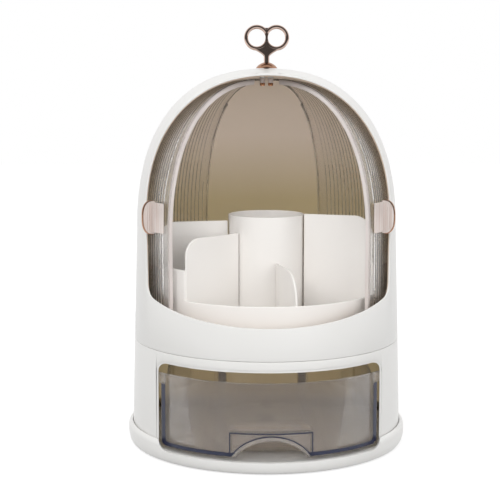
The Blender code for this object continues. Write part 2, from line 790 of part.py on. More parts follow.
def drawer(smoke, white):
    inner_front = face_radius() - DRAWER_WALL
    body = arc_plan(DRAWER_HALF_WIDTH, inner_front, 0)
    outline = (
        arc_plan(DRAWER_FACE_HALF_WIDTH, face_radius(), 0)
        + arc_plan(DRAWER_FACE_HALF_WIDTH, inner_front, 0)[-1:]
        + body[-1:]
        + arc_plan(DRAWER_HALF_WIDTH, DRAWER_BACK_RADIUS, 180)
        + body[:1]
        + arc_plan(DRAWER_FACE_HALF_WIDTH, inner_front, 0)[:1]
    )
    tub = prism("drawer", outline, DRAWER_BOTTOM, DRAWER_TOP)
    half_inside = DRAWER_HALF_WIDTH - DRAWER_WALL
    inside = prism(
        "drawer_inside",
        arc_plan(half_inside, inner_front, 0)
        + arc_plan(half_inside, DRAWER_BACK_RADIUS - DRAWER_WALL, 180),
        DRAWER_BOTTOM + DRAWER_FLOOR,
        DRAWER_TOP + OVERRUN,
        helper=True,
    )
    recess_back = face_radius() - RECESS_DEPTH
    outer_half = RECESS_HALF_WIDTH + RECESS_WALL
    pocket = box(
        "recess_pocket",
        (-outer_half, -inner_front - BITE, DRAWER_BOTTOM + DRAWER_FLOOR / 2),
        (outer_half, RECESS_WALL - recess_back, DRAWER_BOTTOM + RECESS_HEIGHT + RECESS_WALL),
        helper=True,
    )
    boolean(pocket, drawer_plan("pocket_fit", DRAWER_HALF_WIDTH, inner_front + BITE), "INTERSECT")
    hollow = box(
        "recess_hollow",
        (-RECESS_HALF_WIDTH, -inner_front - BITE, DRAWER_BOTTOM - OVERRUN),
        (RECESS_HALF_WIDTH, -recess_back, DRAWER_BOTTOM + RECESS_HEIGHT),
        helper=True,
    )
    boolean(hollow, drawer_plan("hollow_fit", half_inside, inner_front - TOUCH), "INTERSECT")
    scoop = prism("scoop", scoop_outline(), recess_back, FOOT_RADIUS + OVERRUN, front_frame(), helper=True)
    boolean(tub, inside)
    boolean(tub, pocket, "UNION")
    boolean(tub, hollow)
    boolean(tub, scoop)
    finish(tub, smoke)

    for side, word in ((-1, "left"), (1, "right")):
        near = math.sqrt(face_radius() ** 2 - RAIL_X**2) - RAIL_FRONT_SET_BACK
        far = math.sqrt(DRAWER_BACK_RADIUS**2 - RAIL_X**2) - RAIL_BACK_SET_BACK
        rail = box(
            f"drawer_rail_{word}",
            (side * RAIL_X - RAIL_WIDTH / 2, -near, FLOOR_TOP + TOUCH),
            (side * RAIL_X + RAIL_WIDTH / 2, far, RAIL_TOP),
        )
        finish(rail, white)


def door_guide(white):
    outer = guide_outer_radius()
    inner_top = GUIDE_BOTTOM + GUIDE_INNER_HEIGHT
    outer_top = GUIDE_BOTTOM + GUIDE_OUTER_HEIGHT
    floor = GUIDE_BOTTOM + GUIDE_FLOOR
    ring = turned(
        "door_guide",
        [
            (outer - GUIDE_LIP, outer_top),
            (outer, outer_top),
            (outer, GUIDE_BOTTOM),
            (GUIDE_INNER_RADIUS, GUIDE_BOTTOM),
            (GUIDE_INNER_RADIUS, inner_top),
            (GUIDE_INNER_RADIUS + GUIDE_LIP, inner_top),
            (GUIDE_INNER_RADIUS + GUIDE_LIP, floor),
            (outer - GUIDE_LIP, floor),
        ],
    )
    finish(ring, white)


def shell_radius(height):
    """Outer radius of the cabinet's upright wall between the seam and the dome."""
    share = (height - SEAM_Z) / UPRIGHT_HEIGHT
    return DRUM_TOP_RADIUS + (DOME_RADIUS - DRUM_TOP_RADIUS) * share


def guide_outer_radius():
    """The guide's outer lip laps the inside of both walls at the seam."""
    top = GUIDE_BOTTOM + GUIDE_OUTER_HEIGHT
    return min(shell_radius(top) - DOME_WALL, drum_radius(SEAM_Z) - DRUM_WALL) - TOUCH


def skin_points(inset, inner):
    """Dome and upright wall, set in from the cabinet's outside, from radius inner down to the seam."""
    points = dome_points(DOME_RADIUS - inset, DOME_SPRING, DOME_RISE - inset, inner)
    return points + [(shell_radius(SHELL_BOTTOM) - inset, SHELL_BOTTOM)]


def shell_points():
    """Closed profile of the whole shell, with the hole for the key's stem and the seat of its bracket."""
    land_radius, land_z = crown_land()
    inside = [(STEM_HOLE_RADIUS, land_z)] + skin_points(DOME_WALL, land_radius)
    return skin_points(0, STEM_HOLE_RADIUS) + inside[::-1]


def fillet(before, corner, after, radius, steps):
    """Points of the arc that rounds the corner between two straight lines."""
    back = (before - corner).normalized()
    onward = (after - corner).normalized()
    half = back.angle(onward) / 2
    centre = corner + (back + onward).normalized() * radius / math.sin(half)
    start = corner + back * radius / math.tan(half) - centre
    end = corner + onward * radius / math.tan(half) - centre
    first = math.degrees(math.atan2(start.y, start.x))
    turn = (math.degrees(math.atan2(end.y, end.x)) - first + 180) % 360 - 180
    return arc(centre, (radius, radius), first, first + turn, steps)


def arch_outline():
    """Side view, in Y and Z, of what is cut away at the front of the upper shell."""
    reach = FOOT_RADIUS + OVERRUN
    edge_y = direction(ARCH_TOP_AZIMUTH).y * BODY_RADIUS
    top = Vector((edge_y, CROWN_Z + OVERRUN))
    bend = Vector((edge_y, DOME_SPRING + ARCH_BEND_RISE))
    corner = Vector((direction(ARCH_CORNER_AZIMUTH).y * BODY_RADIUS, SEAM_Z + ARCH_CORNER_RISE))
    sill = Vector((-reach, corner.y - ARCH_SLOPE * (reach + corner.x)))
    return (
        [(top.x, top.y)]
        + fillet(top, bend, corner, ARCH_BEND_RADIUS, BEND_STEPS)
        + fillet(bend, corner, sill, ARCH_FILLET, FILLET_STEPS)
        + [(sill.x, sill.y), (sill.x, top.y)]
    )


def arch_cut(name, set_back):
    reach = FOOT_RADIUS + OVERRUN
    frame = Matrix.Translation((0, set_back, -set_back)) @ side_frame()
    return prism(name, arch_outline(), -reach, reach, frame, helper=True)


def shells(white, tea):
    """The tea-coloured shell reaches forward as a thin liner under the white frame."""
    outside = skin_points(0, STEM_HOLE_RADIUS)
    front = turned("arch_frame", outside + skin_points(FRAME_WALL, STEM_HOLE_RADIUS)[::-1])
    boolean(front, half_space("behind_frame", behind=True))
    boolean(front, arch_cut("frame_cut", 0))
    finish(front, white)

    lap = FRAME_WALL + TOUCH
    core = skin_points(lap, STEM_HOLE_RADIUS)
    top = core[0][1]
    foot = core[-1][0]
    core = [(0, top)] + core + [(foot, SHELL_BOTTOM - OVERRUN), (0, SHELL_BOTTOM - OVERRUN)]
    skin = half_space("frame_skin", behind=False)
    boolean(skin, turned("liner_core", core, closed=False, helper=True))
    back = turned("rear_dome", shell_points())
    boolean(back, skin)
    boolean(back, arch_cut("liner_cut", LINER_SET_BACK))
    finish(back, tea)


def low_wall_cut():
    """Wedge from the tray's middle that takes the upper part off its front wall."""
    start, end = LOW_WALL_SPAN
    outline = [(0, 0)]
    for step in range(PLAN_STEPS + 1):
        place = direction(start + (end - start) * step / PLAN_STEPS) * (TRAY_RADIUS + 2 * OVERRUN)
        outline.append((place.x, place.y))
    low = TRAY_BOTTOM + TRAY_FRONT_HEIGHT
    return prism("low_wall_cut", outline, low, TRAY_BOTTOM + TRAY_SIDE_HEIGHT + OVERRUN, helper=True)


def divider(name, azimuth, height, corner):
    """A radial wall from the cup to the tray's rim, with its outer top corner rounded off."""
    inner = CUP_RADIUS + TOUCH + TRAY_WALL / 2
    outer = TRAY_RADIUS - TRAY_WALL / 2
    low = TRAY_BOTTOM + TRAY_FLOOR / 2
    top = TRAY_BOTTOM + height
    points = [(inner, low), (outer, low)]
    points += arc((outer - corner, top - corner), (corner, corner), 0, 90, ROUND_STEPS)
    points.append((inner, top))
    return prism(
        name, points, -TRAY_WALL / 2, TRAY_WALL / 2, radial_frame(azimuth), helper=True
    )


def tray(cream):
    floor_top = TRAY_BOTTOM + TRAY_FLOOR
    inner = CUP_RADIUS + TOUCH
    piece = turned(
        "tray",
        [
            (inner, TRAY_BOTTOM + SOCKET_HEIGHT),
            (inner + TRAY_WALL, TRAY_BOTTOM + SOCKET_HEIGHT),
            (inner + TRAY_WALL, floor_top),
            (TRAY_RADIUS - TRAY_WALL, floor_top),
            (TRAY_RADIUS - TRAY_WALL, TRAY_BOTTOM + TRAY_SIDE_HEIGHT),
            (TRAY_RADIUS, TRAY_BOTTOM + TRAY_SIDE_HEIGHT),
            (TRAY_RADIUS, TRAY_BOTTOM),
            (inner, TRAY_BOTTOM),
        ],
        steps=TRAY_STEPS,
    )
    boolean(piece, low_wall_cut())
    walls = zip(DIVIDER_AZIMUTHS, DIVIDER_HEIGHTS, DIVIDER_CORNERS)
    for number, (azimuth, height, corner) in enumerate(walls, 1):
        boolean(piece, divider(f"divider_{number}", azimuth, height, corner), "UNION")
    finish(piece, cream)

    cup_top = TRAY_BOTTOM + CUP_HEIGHT
    cup = turned(
        "brush_cup",
        [
            (0, TRAY_BOTTOM + CUP_FLOOR),
            (CUP_RADIUS - CUP_WALL, TRAY_BOTTOM + CUP_FLOOR),
            (CUP_RADIUS - CUP_WALL, cup_top),
            (CUP_RADIUS, cup_top),
            (CUP_RADIUS, TRAY_BOTTOM),
            (0, TRAY_BOTTOM),
        ],
        closed=False,
        steps=TRAY_STEPS,
    )
    finish(cup, cream)


def door(word, side, clear):
    """One clear door: part of a dome turned about its own pivot, with a hub round the pin."""
    rise = DOOR_TOP - DOOR_SPRING
    points = dome_points(DOOR_RADIUS, DOOR_SPRING, rise, DOOR_ROOT_RADIUS)
    points.append((DOOR_RADIUS, DOOR_BOTTOM))
    start = DOOR_FRONT_AZIMUTH if side > 0 else -DOOR_FRONT_AZIMUTH - DOOR_SPAN
    piece = turned_shell(f"door_{word}", points, start, DOOR_SPAN, DOOR_WALL, DOOR_STEPS)
    piece.location.x = side * PIVOT_X
    hub = rod(
        f"hub_{word}", HUB_RADIUS, DOOR_TOP - HUB_HEIGHT, DOOR_TOP, side * PIVOT_X, helper=True
    )
    bore = rod(
        f"hub_bore_{word}", PIN_RADIUS + TOUCH, DOOR_TOP - HUB_HEIGHT - OVERRUN, DOOR_TOP + OVERRUN,
        side * PIVOT_X, helper=True,
    )
    boolean(piece, hub, "UNION")
    boolean(piece, bore)
    finish(piece, clear)


def grip(word, side, gold):
    """A curved plate on the door with a D-shaped ear that stands out through the arch."""
    inner = DOOR_RADIUS + TOUCH
    outer = inner + GRIP_THICKNESS
    outline = []
    for radius, turn in ((outer, 1), (inner, -1)):
        for step in range(GRIP_STEPS + 1)[::turn]:
            azimuth = DOOR_FRONT_AZIMUTH + GRIP_INSET + GRIP_TURN * step / GRIP_STEPS
            place = direction(side * azimuth) * radius
            outline.append((place.x + side * PIVOT_X, place.y))
    plate = prism(
        f"grip_{word}", outline, GRIP_Z - GRIP_HEIGHT / 2, GRIP_Z + GRIP_HEIGHT / 2
    )
    root = inner + GRIP_THICKNESS * EAR_ROOT_SHARE
    ear_points = [(root, GRIP_Z - EAR_HEIGHT / 2)]
    power = 2 / EAR_POWER
    for step in range(1, EAR_STEPS):
        angle = math.radians(-90 + 180 * step / EAR_STEPS)
        lift = math.copysign(abs(math.sin(angle)) ** power, math.sin(angle))
        ear_points.append(
            (outer + EAR_REACH * math.cos(angle) ** power - GRIP_THICKNESS, GRIP_Z + lift * EAR_HEIGHT / 2)
        )
    ear_points.append((root, GRIP_Z + EAR_HEIGHT / 2))
    ear_azimuth = DOOR_FRONT_AZIMUTH + GRIP_INSET + GRIP_TURN - EAR_INSET
    frame = Matrix.Translation((side * PIVOT_X, 0, 0)) @ radial_frame(side * ear_azimuth)
    ear = prism(
        f"ear_{word}", ear_points, -EAR_THICKNESS / 2, EAR_THICKNESS / 2, frame, helper=True
    )
    boolean(plate, ear, "UNION")
    finish(plate, gold)


def crown(white, gold):
    bracket_top = crown_land()[1] - TOUCH
    bracket_bottom = bracket_top - BRACKET_PLATE
    boss_bottom = bracket_bottom - BRACKET_BOSS_HEIGHT
    outline = rounded_rectangle(
        BRACKET_HALF_LENGTH, -BRACKET_HALF_WIDTH, BRACKET_HALF_WIDTH, BRACKET_CORNER, BRACKET_CORNER,
        CORNER_STEPS,
    )
    bracket = prism("pivot_bracket", outline, bracket_bottom, bracket_top)
    stem_bore = rod(
        "stem_bore", STEM_HOLE_RADIUS, bracket_bottom - OVERRUN, bracket_top + OVERRUN, helper=True
    )
    boolean(bracket, stem_bore)
    tenon_top = boss_bottom + PIN_TENON_HEIGHT
    for side, word in ((-1, "left"), (1, "right")):
        x = side * PIVOT_X
        boss = turned(
            f"boss_{word}",
            [
                (PIN_TENON_RADIUS + TOUCH, bracket_bottom + BITE),
                (BRACKET_BOSS_RADIUS, bracket_bottom + BITE),
                (BRACKET_BOSS_RADIUS, boss_bottom),
                (PIN_TENON_RADIUS + TOUCH, boss_bottom),
            ],
            steps=PIN_STEPS,
            helper=True,
        )
        boss.location.x = x
        boolean(bracket, boss, "UNION")
        pin_top = boss_bottom - TOUCH
        head_top = DOOR_TOP - HUB_HEIGHT - TOUCH
        pin = turned(
            f"pivot_pin_{word}",
            [
                (0, tenon_top),
                (PIN_TENON_RADIUS, tenon_top),
                (PIN_TENON_RADIUS, pin_top),
                (PIN_RADIUS, pin_top),
                (PIN_RADIUS, head_top),
                (PIN_HEAD_RADIUS, head_top),
                (PIN_HEAD_RADIUS, head_top - PIN_HEAD_HEIGHT),
                (0, head_top - PIN_HEAD_HEIGHT),
            ],
            closed=False,
            steps=PIN_STEPS,
        )
        pin.location.x = x
        finish(pin, gold)
    finish(bracket, white)

    cap_bottom = CROWN_Z + TOUCH
    ball = (CAP_RADIUS**2 + CAP_HEIGHT**2) / (2 * CAP_HEIGHT)
    low = math.degrees(math.asin((ball - CAP_HEIGHT) / ball))
    high = math.degrees(math.acos(STEM_HOLE_RADIUS / ball))
    cap_points = arc((0, cap_bottom + CAP_HEIGHT - ball), (ball, ball), high, low, ROUND_STEPS)
    cap_points.append((STEM_HOLE_RADIUS, cap_bottom))
    finish(turned("key_cap", cap_points, steps=RACE_STEPS), gold)

    ring_z = CROWN_Z + KEY_RING_RISE
    ring_radius = KEY_RING_HOLE + KEY_RING_TUBE - KEY_RING_FLAT
    point_z = CROWN_Z + KEY_POINT_RISE
    shoulder = ring_radius * math.sin(math.radians(KEY_SHOULDER_ANGLE))
    drop = ring_radius * math.cos(math.radians(KEY_SHOULDER_ANGLE))
    key_outline = [
        (-KEY_WAIST, point_z),
        (KEY_WAIST, point_z),
        (KEY_RING_X + shoulder, ring_z - drop),
        (KEY_RING_X, ring_z - ring_radius),
        (0, ring_z - ring_radius * math.sqrt(1 - (KEY_RING_X / ring_radius) ** 2)),
        (-KEY_RING_X, ring_z - ring_radius),
        (-KEY_RING_X - shoulder, ring_z - drop),
    ]
    key = prism("key_handle", key_outline, -KEY_THICKNESS / 2, KEY_THICKNESS / 2, front_frame())
    for side, word in ((-1, "left"), (1, "right")):
        ring = ring_helper(f"ring_{word}", ring_radius, KEY_RING_TUBE, side * KEY_RING_X, ring_z)
        boolean(key, ring, "UNION")
    stem = rod(
        "key_stem", STEM_RADIUS, bracket_bottom + BITE + TOUCH, point_z + KEY_WAIST, helper=True
    )
    boolean(key, stem, "UNION")
    half_step = 180 / KEY_RING_STEPS
    for side, word in ((-1, "left"), (1, "right")):
        centre = (side * KEY_RING_X, ring_z)
        radii = (KEY_RING_HOLE, KEY_RING_HOLE)
        rim = arc(centre, radii, half_step, 360 + half_step, KEY_RING_STEPS)[:-1]
        hole = prism(f"ring_hole_{word}", rim, -OVERRUN, OVERRUN, front_frame(), helper=True)
        boolean(key, hole)
    finish(key, gold)


def ring_helper(name, radius, tube, x, z):
    """A ring that stands upright, facing the front."""
    points = arc((radius, 0), (tube, tube), 90, -270, KEY_TUBE_STEPS)[:-1]
    ring = turned(name, points, steps=KEY_RING_STEPS, helper=True)
    ring.matrix_world = Matrix.Translation((x, 0, z)) @ Matrix.Rotation(math.radians(90), 4, "X")
    return ring


def main():
    clear_scene()
    new_collection(PARTS)
    new_collection(CUTTERS)
    white = make_material("white_abs", (0.80, 0.79, 0.77), 0.3)
    cream = make_material("warm_white_abs", (0.78, 0.72, 0.66), 0.35)
    tea = make_material("tea_translucent", (0.38, 0.29, 0.20), 0.2)
    smoke = make_material("smoky_clear", (0.30, 0.28, 0.28), 0.1, alpha=0.5)
    clear = make_material("clear_ribbed", (0.80, 0.78, 0.74), 0.1, alpha=0.35)
    gold = make_material("rose_gold", (0.72, 0.42, 0.32), 0.18, metallic=1.0)
    steel = make_material("steel", (0.55, 0.55, 0.55), 0.3, metallic=1.0)
    black = make_material("black_abs", (0.03, 0.03, 0.03), 0.5)
    rubber = make_material("rubber", (0.02, 0.02, 0.02), 0.9)

    turntable(black, steel, rubber, white)
    foot(white)
    drum(white, tea)
    deck_and_posts(white, steel)
    drawer(smoke, white)
    door_guide(white)
    tray(cream)
    shells(white, tea)
    for side, word in ((-1, "left"), (1, "right")):
        door(word, side, clear)
        grip(word, side, gold)
    crown(white, gold)


main()
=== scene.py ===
"""Rotating makeup organizer: its surfaces, materials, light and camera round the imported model."""
from math import acos, asin, atan2, copysign, cos, degrees, pi, radians, sin, tan

import bpy
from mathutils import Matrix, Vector


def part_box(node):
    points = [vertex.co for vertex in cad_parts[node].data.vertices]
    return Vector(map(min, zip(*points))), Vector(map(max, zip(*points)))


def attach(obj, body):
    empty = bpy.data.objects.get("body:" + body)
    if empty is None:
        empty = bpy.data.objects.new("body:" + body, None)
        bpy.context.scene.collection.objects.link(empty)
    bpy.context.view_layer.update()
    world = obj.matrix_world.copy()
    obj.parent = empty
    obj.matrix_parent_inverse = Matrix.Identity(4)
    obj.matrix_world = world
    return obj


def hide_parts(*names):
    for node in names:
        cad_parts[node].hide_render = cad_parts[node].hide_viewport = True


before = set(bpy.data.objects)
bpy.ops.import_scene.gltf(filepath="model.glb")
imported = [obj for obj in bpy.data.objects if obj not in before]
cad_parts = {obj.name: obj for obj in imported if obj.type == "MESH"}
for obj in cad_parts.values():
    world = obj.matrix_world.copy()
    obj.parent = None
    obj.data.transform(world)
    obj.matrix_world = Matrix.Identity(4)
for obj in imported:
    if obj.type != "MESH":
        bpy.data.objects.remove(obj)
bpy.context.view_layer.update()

MM = 0.001
UP = Vector((0, 0, 1))

# Fits
TOUCH = 0.3 * MM  # between pieces that rest on each other
PAST = 6 * MM  # how far a cutter runs past what it cuts
WELD = 0.01 * MM

# Cabinet
FOOT_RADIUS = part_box("foot_plate")[1].x
FOOT_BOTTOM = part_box("foot_plate")[0].z
FOOT_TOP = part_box("foot_plate")[1].z
FOOT_UNDER_RADIUS = 133.7 * MM
FOOT_SKIRT = 4.6 * MM
FOOT_BULGE_SHARES = (0.55, 0.74)
FLOOR_BOTTOM = 8.9 * MM
FLOOR_TOP = 12.0 * MM
SPINDLE_HOLE = 4.5 * MM
RACE_INNER = 77.4 * MM  # grooves for the bearing balls, in floor and turntable
RACE_OUTER = 82.6 * MM
RACE_DEPTH = 1.1 * MM
SEAM_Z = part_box("drum_front")[1].z
DRUM_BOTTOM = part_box("drum_front")[0].z
DRUM_FOOT_RADIUS = 133.7 * MM
DRUM_TOP_RADIUS = 131.4 * MM
DRUM_WALL = 2.5 * MM
LEDGE_TOP = 96.7 * MM  # the ledge inside the drum carries the deck
LEDGE_DEPTH = 2.5 * MM
LEDGE_HEIGHT = 1.5 * MM
SPLIT_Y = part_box("arch_frame")[1].y
SHELL_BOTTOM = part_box("arch_frame")[0].z
CROWN_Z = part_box("arch_frame")[1].z
DOME_RADIUS = 128.1 * MM
DOME_SPRING = 210.4 * MM
DOME_POWER = 2.3675
DOME_WALL = 3.0 * MM
FRAME_WALL = 1.6 * MM
LINER_SET_BACK = 2.0 * MM
STEM_HOLE = 3.0 * MM
CROWN_LAND = 17.4 * MM
ARCH_EDGE_Y = -42.5 * MM  # upright edge in the dome
ARCH_BEND_Z = 285 * MM  # below this the edge leans forward
ARCH_BEND_RADIUS = 450 * MM
ARCH_CORNER_Y = -57.5 * MM
ARCH_CORNER_Z = 156.35 * MM
ARCH_SLOPE = 0.29
ARCH_FILLET = 16 * MM

# Drawer and what it runs in
OPENING_HALF = 105 * MM
OPENING_BOTTOM = 12.5 * MM
OPENING_TOP = 94.9 * MM
OPENING_CORNER = 9 * MM
OPENING_STEP = 2.2 * MM  # width of the shallow step round the opening
OPENING_STEP_DEPTH = 0.4 * MM
DRAWER_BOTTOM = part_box("drawer")[0].z
DRAWER_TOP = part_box("drawer")[1].z
DRAWER_HALF = 97 * MM
FACE_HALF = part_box("drawer")[1].x
DRAWER_BACK_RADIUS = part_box("drawer")[1].y
DRAWER_WALL = 2.5 * MM
DRAWER_FLOOR = 2.2 * MM
FACE_RADIUS = -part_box("drawer")[0].y
FLANGE_HEIGHT = 10 * MM
FLANGE_REACH = 2.0 * MM
RECESS_HALF = 36.7 * MM
RECESS_HEIGHT = 23 * MM
RECESS_DEPTH = 26 * MM
RECESS_WALL = 2 * MM
SCOOP_HALF = 33.8 * MM
SCOOP_HEIGHT = 16.2 * MM
SCOOP_RIM = 3.4 * MM  # width of the rolled rim round the scoop
SCOOP_RIM_PROUD = 0.4 * MM
SCOOP_RIM_DEPTH = 4.2 * MM
EDGE_LINE = 3.4 * MM  # width of the navy line round the face
EDGE_INSET = 0.6 * MM
EDGE_PROUD = 0.12 * MM
THIN_LINE = 1.0 * MM  # width of the lines round recess and scoop

# Tray
TRAY_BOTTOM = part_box("tray")[0].z
TRAY_RADIUS = 109 * MM
TRAY_WALL = 2.2 * MM
TRAY_FLOOR = 2.0 * MM
SIDE_WALL = (70, 313)  # azimuths between which the rim is high
LOW_WALL_HEIGHT = 51.7 * MM
SIDE_HEIGHT = 80.7 * MM
SOCKET_HEIGHT = 30 * MM
DIVIDERS = (
    # azimuth, height, radius of the outer top corner
    (-47, 110.3 * MM, 17 * MM),
    (13, 82.0 * MM, 30 * MM),
    (70, 127.8 * MM, 18 * MM),
    (176, 105.0 * MM, 18 * MM),
    (280, 120.7 * MM, 18 * MM),
)
CUP_RADIUS = 37.7 * MM
CUP_WALL = 2.0 * MM
CUP_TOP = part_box("brush_cup")[1].z

# Doors, whose ribs stand out of a smooth wall
PIVOT_X = 4 * MM
DOOR_RADIUS = 117.5 * MM
DOOR_WALL = 2 * MM
DOOR_SPRING = 207.4 * MM
DOOR_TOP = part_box("door_right")[1].z
DOOR_BOTTOM = 104.1 * MM
DOOR_FRONT = 50.8  # degrees from the front, with the doors open
DOOR_SPAN = 100.0
DOOR_ROOT = 2.9 * MM
RIB_TURN = 2.4  # degrees, 5 mm at the wall
RIB_COLUMNS = 6
RIB_HEIGHT = 0.65 * MM
EDGE_ROUND = 0.4 * MM  # taken off each side of the front and rear edges
FRONT_BAND = 4.0  # degrees, smooth along the front edge
REAR_BAND = 2.0
FRONT_LIP_START = 10 * MM  # from the pivot
REAR_LIP_START = 26 * MM
LIP_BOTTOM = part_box("door_guide")[1].z + MM
LIP_THICKNESS = 1.6 * MM
LIP_SET_IN = 0.3 * MM  # from the door's edge
FRONT_LIP_DEPTH = 3.6 * MM
REAR_LIP_DEPTHS = (2.6 * MM, 4.6 * MM)  # above and below the step in the rear lip
REAR_STEP_Z = 333 * MM
HUB_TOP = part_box("pivot_bracket")[0].z - TOUCH
HUB_STEP_Z = DOOR_TOP - 2.6 * MM
HUB_BOTTOM = DOOR_TOP - 4.6 * MM
HUB_RADIUS = 3.1 * MM
HUB_FOOT_RADIUS = 2.4 * MM
PIN_RADIUS = 1.7 * MM

# Grips
GRIP_Z = 229.8 * MM
GRIP_HEIGHT = 28.5 * MM
GRIP_THICKNESS = 2.6 * MM
GRIP_INSET = 2.4
GRIP_TURN = 9.6
EAR_TURN = 1.2  # degrees, back from the plate's far edge
EAR_REACH = 14 * MM
EAR_HEIGHT = 33 * MM
EAR_POWER = 2.6
EAR_RIM = 0.9 * MM
FLUTE_PITCH = 2.5 * MM
FLUTE_DEPTH = 0.6 * MM

# Crown
KEY_RING_X = 9.6 * MM
KEY_RING_HOLE = 8.35 * MM
KEY_RING_TUBE = 2.1 * MM
KEY_RING_Z = CROWN_Z + 29.9 * MM
KEY_THICKNESS = 4.0 * MM
KEY_STEM = 2.8 * MM
KEY_WEB_HALF = 12.5 * MM  # where the web meets the rings' outside
KEY_BRIDGE = ((0.7, 4.0), (3.9, 10.7), (2.4, 10.0), (1.1, 9.6))  # mm out from and over the rings' middle
KEY_WEB_DROPS = (18.2 * MM, 11.5 * MM)  # below the rings' middle, at the stem and at the rings
KEY_WEB_STEPS = 12
KEY_WEB_CURVE = 1.4
CAP_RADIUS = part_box("key_cap")[1].x
CAP_HEIGHT = 6.0 * MM

# Studio
FLOOR_GLOW = 0.75  # light that the floor adds where it is seen, so that it meets the backdrop
FLOOR_PAINT = "A8A8A8"
STUDIO_WHITE = "FFFFFF"
FLOOR_FADE = (-1.2, -0.3)  # metres in front, between which the mirrored floor goes from dark to white
WORLD_LIGHT = 0.76
WORLD_FADE = (-0.35, -0.05)  # the same for the mirrored backdrop, as a direction
FRONT_LEVEL = 0.08  # what shiny pieces mirror of the studio's dark front
LAMPS = (
    # name, place, side, watts
    ("key_softbox", (-1.2, -2.2, 1.7), 1.6, 30),
    ("fill_softbox", (1.6, -2.1, 0.6), 1.8, 20),
)
LAMP_TARGET = Vector((0, 0, 0.2))
CAMERA_PLACE = (-0.0499, -1.2990, 0.3648)
CAMERA_TILT = 82.36
CAMERA_TURN = -1.485
CAMERA_LENS = 94.66

# Mesh steps
RING = 192
DOME_STEPS = 40
PLAN_STEPS = 40


def linear_colour(code):
    """A colour written as sRGB hex, in linear light."""
    channels = []
    for place in (0, 2, 4):
        value = int(code[place : place + 2], 16) / 255
        channels.append(value / 12.92 if value <= 0.04045 else ((value + 0.055) / 1.055) ** 2.4)
    return (*channels, 1.0)


def add_node(tree, kind, settings=None, links=None):
    """Adds a node: lower-case settings are its properties, the others and the links its inputs."""
    made = tree.nodes.new("ShaderNode" + kind)
    for key, value in (settings or {}).items():
        if isinstance(key, str) and key[0].islower():
            setattr(made, key, value)
        else:
            made.inputs[key].default_value = value
    for key, source in (links or {}).items():
        tree.links.new(source, made.inputs[key])
    return made


def new_material(name, settings):
    """A material with one Principled shader, these plain values on it, and a place for its texture."""
    material = bpy.data.materials.new(name)
    material.use_nodes = True
    tree = material.node_tree
    shader = tree.nodes["Principled BSDF"]
    for key, value in settings.items():
        shader.inputs[key].default_value = value
    return material, tree, shader, add_node(tree, "TexCoord").outputs["Object"]


def uneven_gloss(tree, shader, place, patch, detail, low, high):
    """Roughness that drifts between two values, in patches of this size."""
    patches = add_node(tree, "TexNoise", {"Scale": 1 / patch, "Detail": detail}, {"Vector": place})
    limits = {"To Min": low, "To Max": high}
    rough = add_node(tree, "MapRange", limits, {"Value": patches.outputs["Fac"]})
    tree.links.new(rough.outputs["Result"], shader.inputs["Roughness"])


def fine_relief(tree, shader, place, grain, detail, strength, depth):
    """Bumps of this grain and depth, too shallow to model."""
    bumps = add_node(tree, "TexNoise", {"Scale": 1 / grain, "Detail": detail}, {"Vector": place})
    size = {"Strength": strength, "Distance": depth}
    bump = add_node(tree, "Bump", size, {"Height": bumps.outputs["Fac"]})
    tree.links.new(bump.outputs["Normal"], shader.inputs["Normal"])


def moulded_plastic(name, light, dark, roughness, peel=0.05, heights=None, **settings):
    """Injection-moulded plastic with a little orange peel; its tone drifts, or goes by height."""
    material, tree, shader, place = new_material(name, {"IOR": 1.53, **settings})
    if heights:
        upright = add_node(tree, "SeparateXYZ", {}, {"Vector": place}).outputs["Z"]
        ends = {"From Min": heights[0], "From Max": heights[1]}
        share = add_node(tree, "MapRange", ends, {"Value": upright}).outputs["Result"]
    else:
        drift = {"Scale": 1 / (45 * MM), "Detail": 2.0, "Roughness": 0.4}
        share = add_node(tree, "TexNoise", drift, {"Vector": place}).outputs["Fac"]
    tones = {"data_type": "RGBA", 6: linear_colour(dark), 7: linear_colour(light)}
    tone = add_node(tree, "Mix", tones, {"Factor": share})
    tree.links.new(tone.outputs[2], shader.inputs["Base Color"])
    uneven_gloss(tree, shader, place, 12 * MM, 3.0, roughness - 0.04, roughness + 0.04)
    fine_relief(tree, shader, place, 0.9 * MM, 1.0, peel, 0.1 * MM)
    return material


def clear_plastic(name, colour, depth_colour, density, roughness, ior, alpha, clear):
    """Clear moulding: alpha lets some light pass unbent, and what isn't clear is a slight milkiness."""
    base = {"Base Color": linear_colour(colour), "Transmission Weight": clear, "IOR": ior, "Alpha": alpha}
    material, tree, shader, place = new_material(name, base)
    uneven_gloss(tree, shader, place, 18 * MM, 2.0, roughness, roughness + 0.03)
    fine_relief(tree, shader, place, 7 * MM, 1.0, 0.03, 0.2 * MM)
    absorption = {"Color": linear_colour(depth_colour), "Density": density}
    depth = add_node(tree, "VolumeAbsorption", absorption)
    tree.links.new(depth.outputs["Volume"], tree.nodes["Material Output"].inputs["Volume"])
    return material


def plated_metal(name, light, dark, roughness, marks=0.04, patch=9 * MM, upright=1.0, **settings):
    """Plated casting: tone in patches, drawn out upright where upright is small, and polish marks."""
    material, tree, shader, place = new_material(name, {"Metallic": 1.0, **settings})
    drawn = add_node(tree, "Mapping", {"Scale": (1, 1, upright)}, {"Vector": place}).outputs[0]
    patches = add_node(tree, "TexNoise", {"Scale": 1 / patch, "Detail": 2.0}, {"Vector": drawn})
    tones = {"data_type": "RGBA", 6: linear_colour(dark), 7: linear_colour(light)}
    tone = add_node(tree, "Mix", tones, {"Factor": patches.outputs["Fac"]})
    tree.links.new(tone.outputs[2], shader.inputs["Base Color"])
    uneven_gloss(tree, shader, place, 1.4 * MM, 4.0, roughness - 0.03, roughness + 0.05)
    fine_relief(tree, shader, place, 1.4 * MM, 4.0, marks, 0.05 * MM)
    return material


